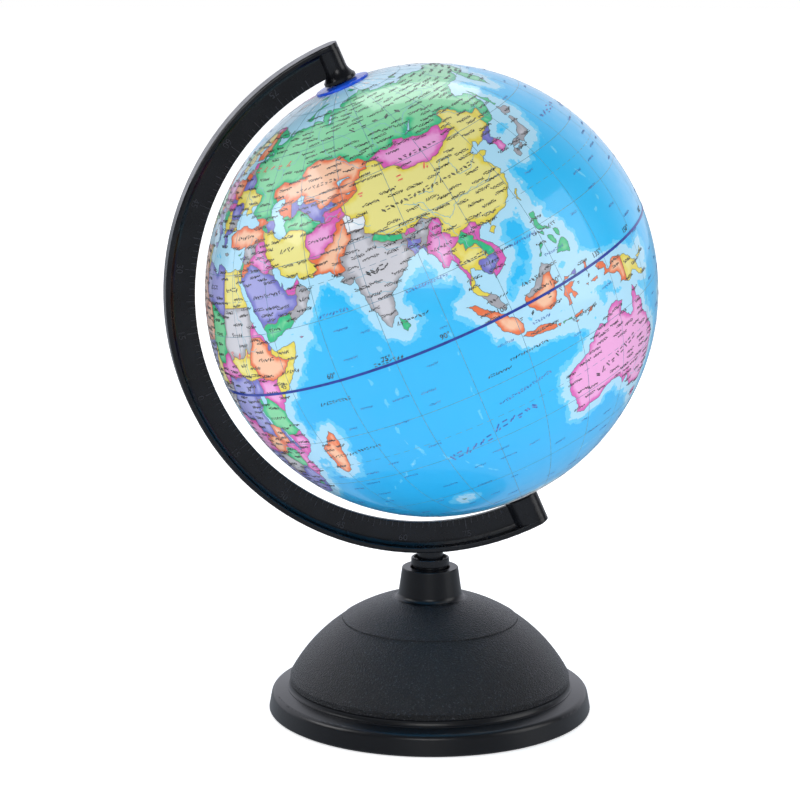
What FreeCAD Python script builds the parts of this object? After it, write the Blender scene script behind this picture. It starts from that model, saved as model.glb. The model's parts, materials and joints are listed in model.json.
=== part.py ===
import FreeCAD, Part
import math
import os
from FreeCAD import Vector

# Desktop globe on a stand, in millimetres.
# +Z is up, the origin is the middle of the ring that the base rests on, and the base's
# swivel axis is the Z axis. The arm lies in the XZ plane on the -X side, so the globe's
# north pole leans towards -X.

# ---- driving dimensions -------------------------------------------------------------
globe_radius = 100.0
globe_centre_z = 191.9
axis_tilt = 23.5
shell_thickness = 1.5

arm_outer_radius = 118.3
arm_inner_radius = 105.0
rim_thickness = 2.4
rim_width = 12.5
web_thickness = 2.8
web_fillet = 2.4
north_boss_radius = 5.05
south_boss_half_length = 7.7
south_boss_half_width = 6.0

flange_radius = 73.0
dome_sphere_radius = 72.1
dome_sphere_z = -18.3
dome_foot_radius = 63.3
wall_thickness = 2.2
cap_radius = 39.5
ledge_top_z = 39.4
ledge_inner_radius = 29.0
neck_top_z = 66.0
neck_top_radius = 12.7

shaft_radius = 6.0
running_clearance = 0.06
collar_radius = 8.66
collar_top_z = 70.6
pivot_pin_radius = 2.0
face_gap = 0.15

# ---- helpers ------------------------------------------------------------------------
ORIGIN = Vector(0, 0, 0)
UP = Vector(0, 0, 1)


def outline(*steps):
    """Closed face in the XZ plane from (r, z) points; ("arc", (mid), (end)) adds an arc."""
    start = Vector(steps[0][0], 0, steps[0][1])
    here = start
    edges = []
    for step in steps[1:]:
        if step[0] == "arc":
            middle = Vector(step[1][0], 0, step[1][1])
            end = Vector(step[2][0], 0, step[2][1])
            edges.append(Part.Arc(here, middle, end).toShape())
        else:
            end = Vector(step[0], 0, step[1])
            edges.append(Part.LineSegment(here, end).toShape())
        here = end
    if here.distanceToPoint(start) > 1e-7:
        edges.append(Part.LineSegment(here, start).toShape())
    return Part.Face(Part.Wire(edges))


def turned(*steps):
    """Solid of revolution about the Z axis."""
    solid = outline(*steps).revolve(ORIGIN, UP, 360)
    if solid.Volume < 0:
        solid.reverse()
    return solid


def tube(outer_radius, inner_radius, low_z, high_z):
    """Round tube, or a disc where inner_radius is 0."""
    body = Part.makeCylinder(outer_radius, high_z - low_z, Vector(0, 0, low_z))
    if inner_radius > 0:
        body = body.cut(Part.makeCylinder(inner_radius, high_z - low_z, Vector(0, 0, low_z)))
    return body


def around_axis(shape, count, first_angle=0.0):
    """Copies of a shape, evenly spaced about the Z axis."""
    copies = []
    for index in range(count):
        copy = shape.copy()
        copy.rotate(ORIGIN, UP, first_angle + 360.0 * index / count)
        copies.append(copy)
    return copies


def on_globe_axis(shape):
    """Place a shape drawn about the local polar axis, globe centre at its origin."""
    placed = shape.copy()
    placed.rotate(ORIGIN, Vector(0, 1, 0), -axis_tilt)
    placed.translate(Vector(0, 0, globe_centre_z))
    return placed


def sphere_z(radius, distance, centre_z=0.0):
    """Height of a sphere's upper surface at a distance from its vertical axis."""
    return centre_z + math.sqrt(radius**2 - distance**2)


def on_sphere(radius, degrees, centre_z=0.0):
    """Point (r, z) of a sphere's profile at an angle above its equator."""
    angle = math.radians(degrees)
    return (radius * math.cos(angle), centre_z + radius * math.sin(angle))


def angle_on(radius, distance):
    """Angle above the equator, in degrees, of a sphere's point at a distance from its axis."""
    return math.degrees(math.acos(distance / radius))


# ---- base ---------------------------------------------------------------------------
# the flange's wall, rounded shoulder and sloping top, and the small step where the dome starts
flange_wall_top = (71.9, 7.2)
flange_shoulder = (71.25, 8.75)
flange_top_outer = (69.6, 9.7)
flange_top_inner = (64.7, 10.8)
dome_step = (64.1, 11.3)
dome_step_middle = (63.65, 12.1)
dome_step_top = (63.5, 13.4)
foot_groove_radii = (68.5, 71.5)
foot_groove_depth = 0.5
shell_bottom_z = 0.6
inner_sphere_radius = dome_sphere_radius - wall_thickness
rib_count = 8
rib_thickness = 1.6
rib_inner_radius = 45.5
rib_length = 24.0
rib_bottom_z = 2.6
rib_height = 34.0
first_rib_angle = 22.5

# the hollow's profile behind the flange, from its mouth up to the dome's inner skin
cavity_profile = ((68.0, 2.0), (69.6, 3.4), (69.4, 6.6), (68.6, 7.3), (62.4, 8.7), (61.4, 11.0))
cavity_wall_radius = 61.0
below_base_z = -1.0

screw_count = 3
screw_circle_radius = 33.0
screw_shank_radius = 1.45
screw_hole_radius = 1.5
screw_head_radius = 2.8
screw_head_height = 1.9
screw_length = 6.0
screw_boss_radius = 3.2


def base_cavity():
    """The hollow under the dome and flange, down past the shell's bottom edge."""
    wall_low = angle_on(inner_sphere_radius, cavity_wall_radius)
    ledge_low_z = ledge_top_z - wall_thickness
    ledge_r = math.sqrt(inner_sphere_radius**2 - (ledge_low_z - dome_sphere_z) ** 2)
    wall_high = angle_on(inner_sphere_radius, ledge_r)
    return turned(
        (0, below_base_z),
        (cavity_profile[0][0], below_base_z),
        *cavity_profile,
        on_sphere(inner_sphere_radius, wall_low, dome_sphere_z),
        (
            "arc",
            on_sphere(inner_sphere_radius, (wall_low + wall_high) / 2, dome_sphere_z),
            on_sphere(inner_sphere_radius, wall_high, dome_sphere_z),
        ),
        (0, ledge_low_z),
    )


def base_shell():
    """Textured dome on a smooth flange, one thin moulding with ribs underneath."""
    low = angle_on(dome_sphere_radius, dome_foot_radius)
    seam_r = cap_radius + face_gap
    high = angle_on(dome_sphere_radius, seam_r)
    bottom_round = (flange_radius - 0.15, shell_bottom_z + 0.2)
    outer = turned(
        (0, shell_bottom_z),
        (flange_radius - 0.6, shell_bottom_z),
        ("arc", bottom_round, (flange_radius, shell_bottom_z + 0.8)),
        flange_wall_top,
        ("arc", flange_shoulder, flange_top_outer),
        flange_top_inner,
        (flange_top_inner[0] - 0.05, flange_top_inner[1] + 0.35),
        dome_step,
        ("arc", dome_step_middle, dome_step_top),
        on_sphere(dome_sphere_radius, low, dome_sphere_z),
        (
            "arc",
            on_sphere(dome_sphere_radius, (low + high) / 2, dome_sphere_z),
            on_sphere(dome_sphere_radius, high, dome_sphere_z),
        ),
        (seam_r, ledge_top_z),
        (0, ledge_top_z),
    )
    cavity = base_cavity()
    shell = outer.cut(cavity)
    shell = shell.cut(tube(ledge_inner_radius, 0, 0, ledge_top_z + 1))
    rib_corner = Vector(rib_inner_radius, -rib_thickness / 2, rib_bottom_z)
    rib = Part.makeBox(rib_length, rib_thickness, rib_height, rib_corner).common(cavity)
    shell = shell.fuse(around_axis(rib, rib_count, first_rib_angle))
    groove = tube(foot_groove_radii[1], foot_groove_radii[0], 0, shell_bottom_z + foot_groove_depth)
    shell = shell.cut(groove)
    hole = tube(screw_hole_radius + 0.2, 0, ledge_top_z - 6.0, ledge_top_z + 4.0)
    hole.translate(Vector(screw_circle_radius, 0, 0))
    return shell.cut(around_axis(hole, screw_count)).removeSplitter()


def foot_ring():
    """Soft ring set in the groove under the flange; the globe stands on its lower face."""
    inset = 0.05
    return tube(
        foot_groove_radii[1] - inset,
        foot_groove_radii[0] + inset,
        0,
        shell_bottom_z + foot_groove_depth - 0.02,
    )


# ---- neck cap -----------------------------------------------------------------------
neck_foot_radius = 17.0
neck_foot_z = 51.7
neck_low = (14.25, 54.6)
counterbore_radius = 8.9
counterbore_z = 62.4
socket_tube_radius = 9.4
neck_hollow_radii = (12.2, 11.0)
neck_hollow_top_z = 59.6
socket_bottom_z = 29.9
web_height = 14.0
screw_boss_top_z = 50.0
pilot_depth = 4.1
cap_sphere_radius = dome_sphere_radius + 0.35


def neck_cap():
    """Upper part of the dome with the tapered neck and the socket tube for the stem."""
    edge_r = cap_radius - 0.35
    low = angle_on(cap_sphere_radius, edge_r)
    high = angle_on(cap_sphere_radius, neck_foot_radius)
    inner_radius = cap_sphere_radius - wall_thickness - 0.2
    inner_low = angle_on(inner_radius, cap_radius - wall_thickness)
    inner_high = angle_on(inner_radius, neck_hollow_radii[0])
    edge_z = sphere_z(cap_sphere_radius, edge_r, dome_sphere_z)
    cap = turned(
        (shaft_radius + running_clearance, counterbore_z),
        (counterbore_radius, counterbore_z),
        (counterbore_radius, neck_top_z - 0.3),
        (counterbore_radius + 0.3, neck_top_z),
        (neck_top_radius - 0.5, neck_top_z),
        ("arc", (neck_top_radius - 0.13, neck_top_z - 0.15), (neck_top_radius, neck_top_z - 0.5)),
        neck_low,
        (
            "arc",
            (neck_low[0] + 0.72, neck_foot_z + 1.2),
            (neck_foot_radius, sphere_z(cap_sphere_radius, neck_foot_radius, dome_sphere_z)),
        ),
        (
            "arc",
            on_sphere(cap_sphere_radius, (low + high) / 2, dome_sphere_z),
            on_sphere(cap_sphere_radius, low, dome_sphere_z),
        ),
        ("arc", (cap_radius - 0.1, edge_z - 0.18), (cap_radius, edge_z - 0.5)),
        (cap_radius, ledge_top_z),
        (cap_radius - wall_thickness, ledge_top_z),
        on_sphere(inner_radius, inner_low, dome_sphere_z),
        (
            "arc",
            on_sphere(inner_radius, (inner_low + inner_high) / 2, dome_sphere_z),
            on_sphere(inner_radius, inner_high, dome_sphere_z),
        ),
        (neck_hollow_radii[1], neck_hollow_top_z),
        (socket_tube_radius, neck_hollow_top_z),
        (socket_tube_radius, socket_bottom_z),
        (shaft_radius + running_clearance, socket_bottom_z),
    )
    under_skin = Part.makeSphere(inner_radius + 0.8, Vector(0, 0, dome_sphere_z))
    boss = tube(screw_boss_radius, 0, ledge_top_z, screw_boss_top_z)
    boss.translate(Vector(screw_circle_radius, 0, 0))
    boss = boss.common(under_skin)
    web_start = socket_tube_radius - 0.5
    web_corner = Vector(web_start, -rib_thickness / 2, ledge_top_z)
    web_length = cap_radius - wall_thickness - web_start
    web = Part.makeBox(web_length, rib_thickness, web_height, web_corner).common(under_skin)
    cap = cap.fuse(around_axis(boss, screw_count) + around_axis(web, 2 * screw_count))
    pilot = tube(screw_hole_radius, 0, ledge_top_z - 0.1, ledge_top_z + pilot_depth)
    pilot.translate(Vector(screw_circle_radius, 0, 0))
    return cap.cut(around_axis(pilot, screw_count)).removeSplitter()


def pan_head_screw(head_z, length, shank_radius, head_radius, head_height):
    """Screw pointing up, its head's bearing face at head_z, with a cross recess."""
    head_low = head_z - head_height
    round_middle = (head_radius * 0.93, head_low + head_height * 0.32)
    round_end = (head_radius, head_low + head_height * 0.75)
    head = turned(
        (0, head_low),
        (head_radius * 0.72, head_low),
        ("arc", round_middle, round_end),
        (head_radius, head_z),
        (0, head_z),
    )
    tip_z = head_z + length
    shank = turned(
        (0, head_z - 0.1),
        (shank_radius, head_z - 0.1),
        (shank_radius, tip_z - shank_radius),
        (0.25, tip_z),
        (0, tip_z),
    )
    screw = head.fuse(shank)
    slot_length = head_radius * 1.1
    slot_width = head_radius * 0.26
    slot_depth = head_height * 0.45
    for long_x, long_y in ((slot_length, slot_width), (slot_width, slot_length)):
        slot_corner = Vector(-long_x / 2, -long_y / 2, head_low)
        screw = screw.cut(Part.makeBox(long_x, long_y, slot_depth, slot_corner))
    return screw.removeSplitter()


def cap_screws():
    """Three screws that draw the neck cap down on the shell's ledge, from below."""
    head_z = ledge_top_z - wall_thickness
    screw = pan_head_screw(head_z, screw_length, screw_shank_radius, screw_head_radius, screw_head_height)
    screw.translate(Vector(screw_circle_radius, 0, 0))
    return Part.makeCompound(around_axis(screw, screw_count))


# ---- swivel stem --------------------------------------------------------------------
collar_bottom_z = 67.1
cup_floor_z = 69.3
cup_radius = 7.4
shoulder_radius = 7.9
tenon_radius = 3.4
tenon_bottom_z = 60.1
stem_bottom_z = socket_bottom_z - 0.3
post_radius = 5.8
stem_screw_radius = 1.5
stem_screw_length = 36.5
stem_screw_head_radius = 3.8
stem_screw_head_height = 2.4
stem_washer_radius = 9.0
stem_washer_thickness = 1.3
stem_washer_low_z = stem_bottom_z - stem_washer_thickness


def swivel_stem():
    """Collar with a shallow cup, on the shaft that turns in the neck's socket."""
    hole = tenon_radius + 0.03
    top_round = (collar_radius - 0.1, collar_top_z - 0.35)
    foot_round = (collar_radius - 0.12, collar_bottom_z + 0.12)
    return turned(
        (hole, cup_floor_z),
        (cup_radius, cup_floor_z),
        (cup_radius + 0.1, collar_top_z - 0.2),
        ("arc", (cup_radius + 0.62, collar_top_z), top_round),
        (collar_radius, collar_bottom_z + 0.4),
        ("arc", foot_round, (collar_radius - 0.4, collar_bottom_z)),
        (shoulder_radius, collar_bottom_z),
        (shoulder_radius, counterbore_z + face_gap),
        (shaft_radius, counterbore_z + face_gap),
        (shaft_radius, stem_bottom_z + 0.5),
        (shaft_radius - 0.5, stem_bottom_z),
        (stem_screw_radius + 0.1, stem_bottom_z),
        (stem_screw_radius + 0.1, tenon_bottom_z - 0.1),
        (hole, tenon_bottom_z - 0.1),
    )


def stem_washer():
    """Wide washer that keeps the stem from lifting out of the socket tube."""
    return tube(stem_washer_radius, stem_screw_radius + 0.2, stem_washer_low_z, stem_bottom_z)


def stem_screw():
    """Long screw through the washer and stem into the arm's tenon."""
    return pan_head_screw(
        stem_washer_low_z,
        stem_screw_length,
        stem_screw_radius,
        stem_screw_head_radius,
        stem_screw_head_height,
    )


# ---- meridian arm -------------------------------------------------------------------
half_web = web_thickness / 2
half_rim = rim_width / 2
rim_inner_radius = arm_outer_radius - rim_thickness
north_boss_face = 101.5
flare_radius = 7.25
flare_band_top = 103.0
flare_top = 108.3
south_boss_face = 103.9
pin_hole_depth = 11.0
end_radius_south = 7.75


def arm_ring():
    """Full ring of the arm's T section, about the local Y axis."""
    edge = 0.35
    rim_round = 0.8
    diagonal = web_fillet * math.sin(math.radians(45))
    fillet_r = rim_inner_radius - web_fillet
    fillet_y = half_web + web_fillet
    fillet_mid = (fillet_r + diagonal, fillet_y - diagonal)
    corner_mid = arm_outer_radius - rim_round * (1 - math.sin(math.radians(45)))
    section = outline(
        (arm_inner_radius, -half_web + edge),
        (arm_inner_radius + edge, -half_web),
        (fillet_r, -half_web),
        ("arc", (fillet_mid[0], -fillet_mid[1]), (rim_inner_radius, -fillet_y)),
        (rim_inner_radius, -half_rim + edge),
        (rim_inner_radius + edge, -half_rim),
        (arm_outer_radius - rim_round, -half_rim),
        (
            "arc",
            (corner_mid, -half_rim + arm_outer_radius - corner_mid),
            (arm_outer_radius, -half_rim + rim_round),
        ),
        (arm_outer_radius, half_rim - rim_round),
        (
            "arc",
            (corner_mid, half_rim - arm_outer_radius + corner_mid),
            (arm_outer_radius - rim_round, half_rim),
        ),
        (rim_inner_radius + edge, half_rim),
        (rim_inner_radius, half_rim - edge),
        (rim_inner_radius, fillet_y),
        ("arc", fillet_mid, (fillet_r, half_web)),
        (arm_inner_radius + edge, half_web),
        (arm_inner_radius, half_web - edge),
    )
    ring = section.revolve(ORIGIN, UP, 360)
    ring.rotate(ORIGIN, Vector(1, 0, 0), 90)
    return ring


def oval_prism(half_x, half_y, low_z, high_z):
    """Upright prism with an elliptical plan."""
    if half_x >= half_y:
        curve = Part.Ellipse(ORIGIN, half_x, half_y).toShape()
    else:
        curve = Part.Ellipse(ORIGIN, half_y, half_x).toShape()
        curve.rotate(ORIGIN, UP, 90)
    prism = Part.Face(Part.Wire([curve])).extrude(Vector(0, 0, high_z - low_z))
    prism.translate(Vector(0, 0, low_z))
    return prism


def north_boss():
    """Boss that flares to a foot over the north pole cap."""
    top = arm_outer_radius - 1.2
    return turned(
        (0, north_boss_face),
        (flare_radius - 0.25, north_boss_face),
        (flare_radius, north_boss_face + 0.25),
        (flare_radius, flare_band_top),
        ("arc", (north_boss_radius + 0.62, flare_band_top + 2.2), (north_boss_radius, flare_top)),
        (north_boss_radius, top),
        (0, top),
    )


def meridian_arm():
    """Half ring with a boss at each pole, and the post that stands on the stem."""
    ring = arm_ring()
    reach = arm_outer_radius + 5
    left = Part.makeBox(reach, rim_width + 2, 2 * reach, Vector(-reach, -half_rim - 1, -reach))
    arm = ring.common(left)
    arm = arm.fuse(ring.common(oval_prism(north_boss_radius, half_rim, 90, reach)))
    arm = arm.fuse(ring.common(oval_prism(end_radius_south, half_rim, -reach, -90)))
    arm = arm.fuse(north_boss())
    south_top = -south_boss_face
    south_low = -(rim_inner_radius + 0.8)
    arm = arm.fuse(oval_prism(south_boss_half_length, south_boss_half_width, south_low, south_top))
    hole = pivot_pin_radius + 0.02
    arm = arm.cut(Part.makeCylinder(hole, pin_hole_depth + 1, Vector(0, 0, north_boss_face - 1)))
    arm = arm.cut(Part.makeCylinder(hole, pin_hole_depth + 1, Vector(0, 0, south_top - pin_hole_depth)))
    arm = on_globe_axis(arm)
    rim_low_z = globe_centre_z - arm_outer_radius
    post = tube(post_radius, 0, cup_floor_z, rim_low_z + 1.2)
    tenon = tube(tenon_radius, 0, tenon_bottom_z, cup_floor_z + 0.2)
    arm = arm.fuse([post, tenon])
    pilot = Part.makeCylinder(stem_screw_radius + 0.05, 8.0, Vector(0, 0, tenon_bottom_z - 0.5))
    return arm.cut(pilot).removeSplitter()


def pivot_pin(inner_end, outer_end):
    """Steel pin on the polar axis, rounded at the globe's end."""
    low = min(inner_end, outer_end)
    pin = Part.makeCylinder(pivot_pin_radius, abs(outer_end - inner_end), Vector(0, 0, low))
    return pin.makeFillet(0.5, [e for e in pin.Edges if len(e.Vertexes) == 1])


# ---- globe --------------------------------------------------------------------------
seam_gap = 0.04
pole_hole_radius = 4.6
bush_radius = 4.5
bush_flange_radius = 6.4
pole_cap_radius = 12.1
pole_cap_rise = 1.15
inner_radius = globe_radius - shell_thickness
north_flange_top = globe_radius + 0.45
south_flange_face = south_boss_face - 1.0 - 2 * face_gap
washer_radii = (5.2, pivot_pin_radius + 0.15)
joint_ring_half_height = 6.0
joint_ring_thickness = 1.4
band_half_height = 0.55
clip_outer_radius = 8.4
clip_inner_low_z = 96.5
clip_dish = 0.6
clip_thickness = 0.8


def hemisphere():
    """Thin half shell above the equator, with the pole's hole."""
    low = math.degrees(math.asin(seam_gap / globe_radius))
    outer_top = angle_on(globe_radius, pole_hole_radius)
    inner_low = math.degrees(math.asin(seam_gap / inner_radius))
    inner_top = angle_on(inner_radius, pole_hole_radius)
    return turned(
        on_sphere(globe_radius, low),
        ("arc", on_sphere(globe_radius, 45), on_sphere(globe_radius, outer_top)),
        on_sphere(inner_radius, inner_top),
        ("arc", on_sphere(inner_radius, 45), on_sphere(inner_radius, inner_low)),
    )


def mirrored(shape):
    """The same shape on the other side of the equator."""
    return shape.mirror(ORIGIN, UP)


def joint_ring():
    """Inner ring that laps both halves of the ball at the equator."""
    radius = inner_radius - 0.25
    bore = radius - joint_ring_thickness
    ring = tube(radius, bore, -joint_ring_half_height, joint_ring_half_height)
    return ring.makeChamfer(0.4, [e for e in ring.Edges if len(e.Vertexes) == 1])


def equator_band():
    """Narrow tape that covers the joint of the two halves."""
    return tube(globe_radius + 0.2, globe_radius + 0.03, -band_half_height, band_half_height)


def pole_bush(flange_low, flange_top, inner_end):
    """Bush with an outer flange; the pivot pin runs in its bore."""
    bore = pivot_pin_radius + running_clearance
    return turned(
        (bore, inner_end),
        (bush_radius - 0.3, inner_end),
        (bush_radius, inner_end + 0.3),
        (bush_radius, flange_low),
        (bush_flange_radius, flange_low),
        (bush_flange_radius, flange_top - 0.15),
        (bush_flange_radius - 0.15, flange_top),
        (bore, flange_top),
    )


def bush_clip():
    """Dished spring ring that holds a bush from inside the ball."""
    hole = bush_radius + 0.03
    edge_low_z = clip_inner_low_z + clip_dish
    return turned(
        (hole, clip_inner_low_z),
        (clip_outer_radius, edge_low_z),
        (clip_outer_radius, edge_low_z + clip_thickness),
        (hole, clip_inner_low_z + clip_thickness),
    )


def north_pole_cap():
    """Thin domed disc that lies on the ball around the pole."""
    under = globe_radius + 0.04
    over = globe_radius + pole_cap_rise
    hole = bush_flange_radius + 0.1
    pocket_top = north_flange_top + 0.06
    edge = angle_on(over, pole_cap_radius - 0.4)
    bore = bush_radius - 1.5
    top_end = angle_on(over, bore)
    edge_round = (pole_cap_radius - 0.1, sphere_z(over, pole_cap_radius) - 0.12)
    return turned(
        on_sphere(under, angle_on(under, hole)),
        (
            "arc",
            on_sphere(under, angle_on(under, (hole + pole_cap_radius) / 2)),
            on_sphere(under, angle_on(under, pole_cap_radius)),
        ),
        (pole_cap_radius + 0.02, sphere_z(under, pole_cap_radius) + 0.55),
        ("arc", edge_round, on_sphere(over, edge)),
        ("arc", on_sphere(over, (edge + top_end) / 2), on_sphere(over, top_end)),
        (bore, pocket_top),
        (hole, pocket_top),
    )


def thrust_washer():
    """Slippery washer between the lower boss and the lower bush."""
    low = -south_boss_face + face_gap
    return tube(washer_radii[0], washer_radii[1], low, low + 1.0)


# ---- all sub-parts ------------------------------------------------------------------
pin_inner_end = 93.0
pin_outer_end = 112.0
bush_inner_end = 91.0
globe_axis_parts = {
    "north_pivot_pin": pivot_pin(pin_inner_end, pin_outer_end),
    "south_pivot_pin": pivot_pin(-pin_inner_end, -pin_outer_end),
    "south_thrust_washer": thrust_washer(),
    "north_hemisphere": hemisphere(),
    "south_hemisphere": mirrored(hemisphere()),
    "equator_joint_ring": joint_ring(),
    "equator_band": equator_band(),
    "north_pole_bush": pole_bush(globe_radius, north_flange_top, bush_inner_end),
    "south_pole_bush": mirrored(pole_bush(globe_radius, south_flange_face, bush_inner_end)),
    "north_bush_clip": bush_clip(),
    "south_bush_clip": mirrored(bush_clip()),
    "north_pole_cap": north_pole_cap(),
}
parts = {
    "base_shell": base_shell(),
    "foot_ring": foot_ring(),
    "neck_cap": neck_cap(),
    "cap_screws": cap_screws(),
    "meridian_arm": meridian_arm(),
    "swivel_stem": swivel_stem(),
    "stem_washer": stem_washer(),
    "stem_screw": stem_screw(),
}
for name, shape in globe_axis_parts.items():
    parts[name] = on_globe_axis(shape)

os.makedirs("parts", exist_ok=True)
for name, shape in parts.items():
    shape.exportStep("parts/" + name + ".step")
    box = shape.BoundBox
    print(name, len(shape.Solids), "solids", shape.isValid(), "volume", round(shape.Volume, 1),
          "z", round(box.ZMin, 2), round(box.ZMax, 2))
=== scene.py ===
import json
import math
import random

import bpy
from mathutils import Matrix, Vector, kdtree
from mathutils.geometry import delaunay_2d_cdt


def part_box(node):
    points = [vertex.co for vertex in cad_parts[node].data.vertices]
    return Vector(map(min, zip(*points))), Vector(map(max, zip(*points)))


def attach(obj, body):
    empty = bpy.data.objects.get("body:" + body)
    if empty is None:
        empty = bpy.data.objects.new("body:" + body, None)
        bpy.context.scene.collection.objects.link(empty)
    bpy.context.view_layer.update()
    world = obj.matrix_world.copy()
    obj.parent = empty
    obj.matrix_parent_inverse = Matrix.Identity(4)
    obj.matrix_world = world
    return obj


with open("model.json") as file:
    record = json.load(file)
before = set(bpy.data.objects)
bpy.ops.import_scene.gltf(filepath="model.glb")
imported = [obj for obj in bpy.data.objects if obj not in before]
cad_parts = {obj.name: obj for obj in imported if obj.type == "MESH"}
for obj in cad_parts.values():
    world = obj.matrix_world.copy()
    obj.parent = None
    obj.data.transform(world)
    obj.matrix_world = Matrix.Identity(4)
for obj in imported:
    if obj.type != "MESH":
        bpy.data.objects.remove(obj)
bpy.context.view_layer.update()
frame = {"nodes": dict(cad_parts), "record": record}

# A desk globe: a printed ball in a half-ring arm on a round base. The CAD nodes come from
# the frame and get their materials here. The printed map, the numerals and the arm's scale
# are thin raised pieces built below. All lengths are in metres, angles of the map in degrees.

MM = 0.001

# ---- places and sizes, read from the frame ------------------------------------------------
JOINTS = {joint["name"]: joint for joint in frame["record"]["behaviour"]["joints"]}
SPIN = JOINTS["globe_spin"]
CENTRE = Vector(SPIN["pos_m"])
POLAR = Vector(SPIN["axis"]).normalized()
EAST_AT_SIDE = Vector((0, 1, 0)).cross(POLAR)
FRONT = Vector((0, -1, 0))
BALL_RADIUS = (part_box("north_hemisphere")[1][1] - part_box("north_hemisphere")[0][1]) / 2
NODE_SLOTS = {part["node"]: part["material_slot"] for part in frame["record"]["subparts"]}

# how the map lies on the ball
FRONT_LONGITUDE = 95.75
MAP_EDGE_LATITUDE = 87.3
SEAM_LONGITUDE = -30.0
METRES_PER_DEG = math.radians(1) * BALL_RADIUS

# near the poles a degree of longitude is taken to be at least this part of a degree of latitude
LEAST_STROKE_STRETCH = 0.05
LEAST_CRINKLE_STRETCH = 0.2

# radii of the printed layers, one above the other
PRINT_LOW = BALL_RADIUS + 0.01 * MM
PRINT_TOP = BALL_RADIUS + 0.06 * MM
INK_OVERLAP = 0.005 * MM
LAYERS = ["rivers", "graticule", "coastline", "borders", "names", "dots", "numerals"]
LAYER_TOP = {name: PRINT_TOP + (0.02 + 0.012 * i) * MM for i, name in enumerate(LAYERS)}

# the net of the map: its spacing, how far a border reaches for another line, the lookup squares
NET_STEP_DEG = 1.6
JOIN_DEG = 1.7
CELL_DEG = 2.0
GRID_CLEAR_DEG = 0.35
FEWEST_IN_ROW = 20
FRAME_ROWS = 88
FRAME_COLUMNS = 48
TRIANGLES_IN_HULL = 0
MERGE_DEG = 1e-5
SHORTEST_STROKE_DEG = 1e-7

# how much each kind of line is roughened, as a part of a segment's length, and how finely
COAST_ROUGHNESS = 0.16
BORDER_ROUGHNESS = 0.13
RIVER_ROUGHNESS = 0.2
LONGEST_SEGMENT_DEG = 0.55
RIVER_SEGMENT_DEG = 0.8
RIDGE_SEGMENT_DEG = 2.0

# weights that make a number from the two ends of a segment look random
HASH_WEIGHTS = (12.9898, 78.233, 37.719, 4.581)
HASH_SPREAD = 43758.5453

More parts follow.
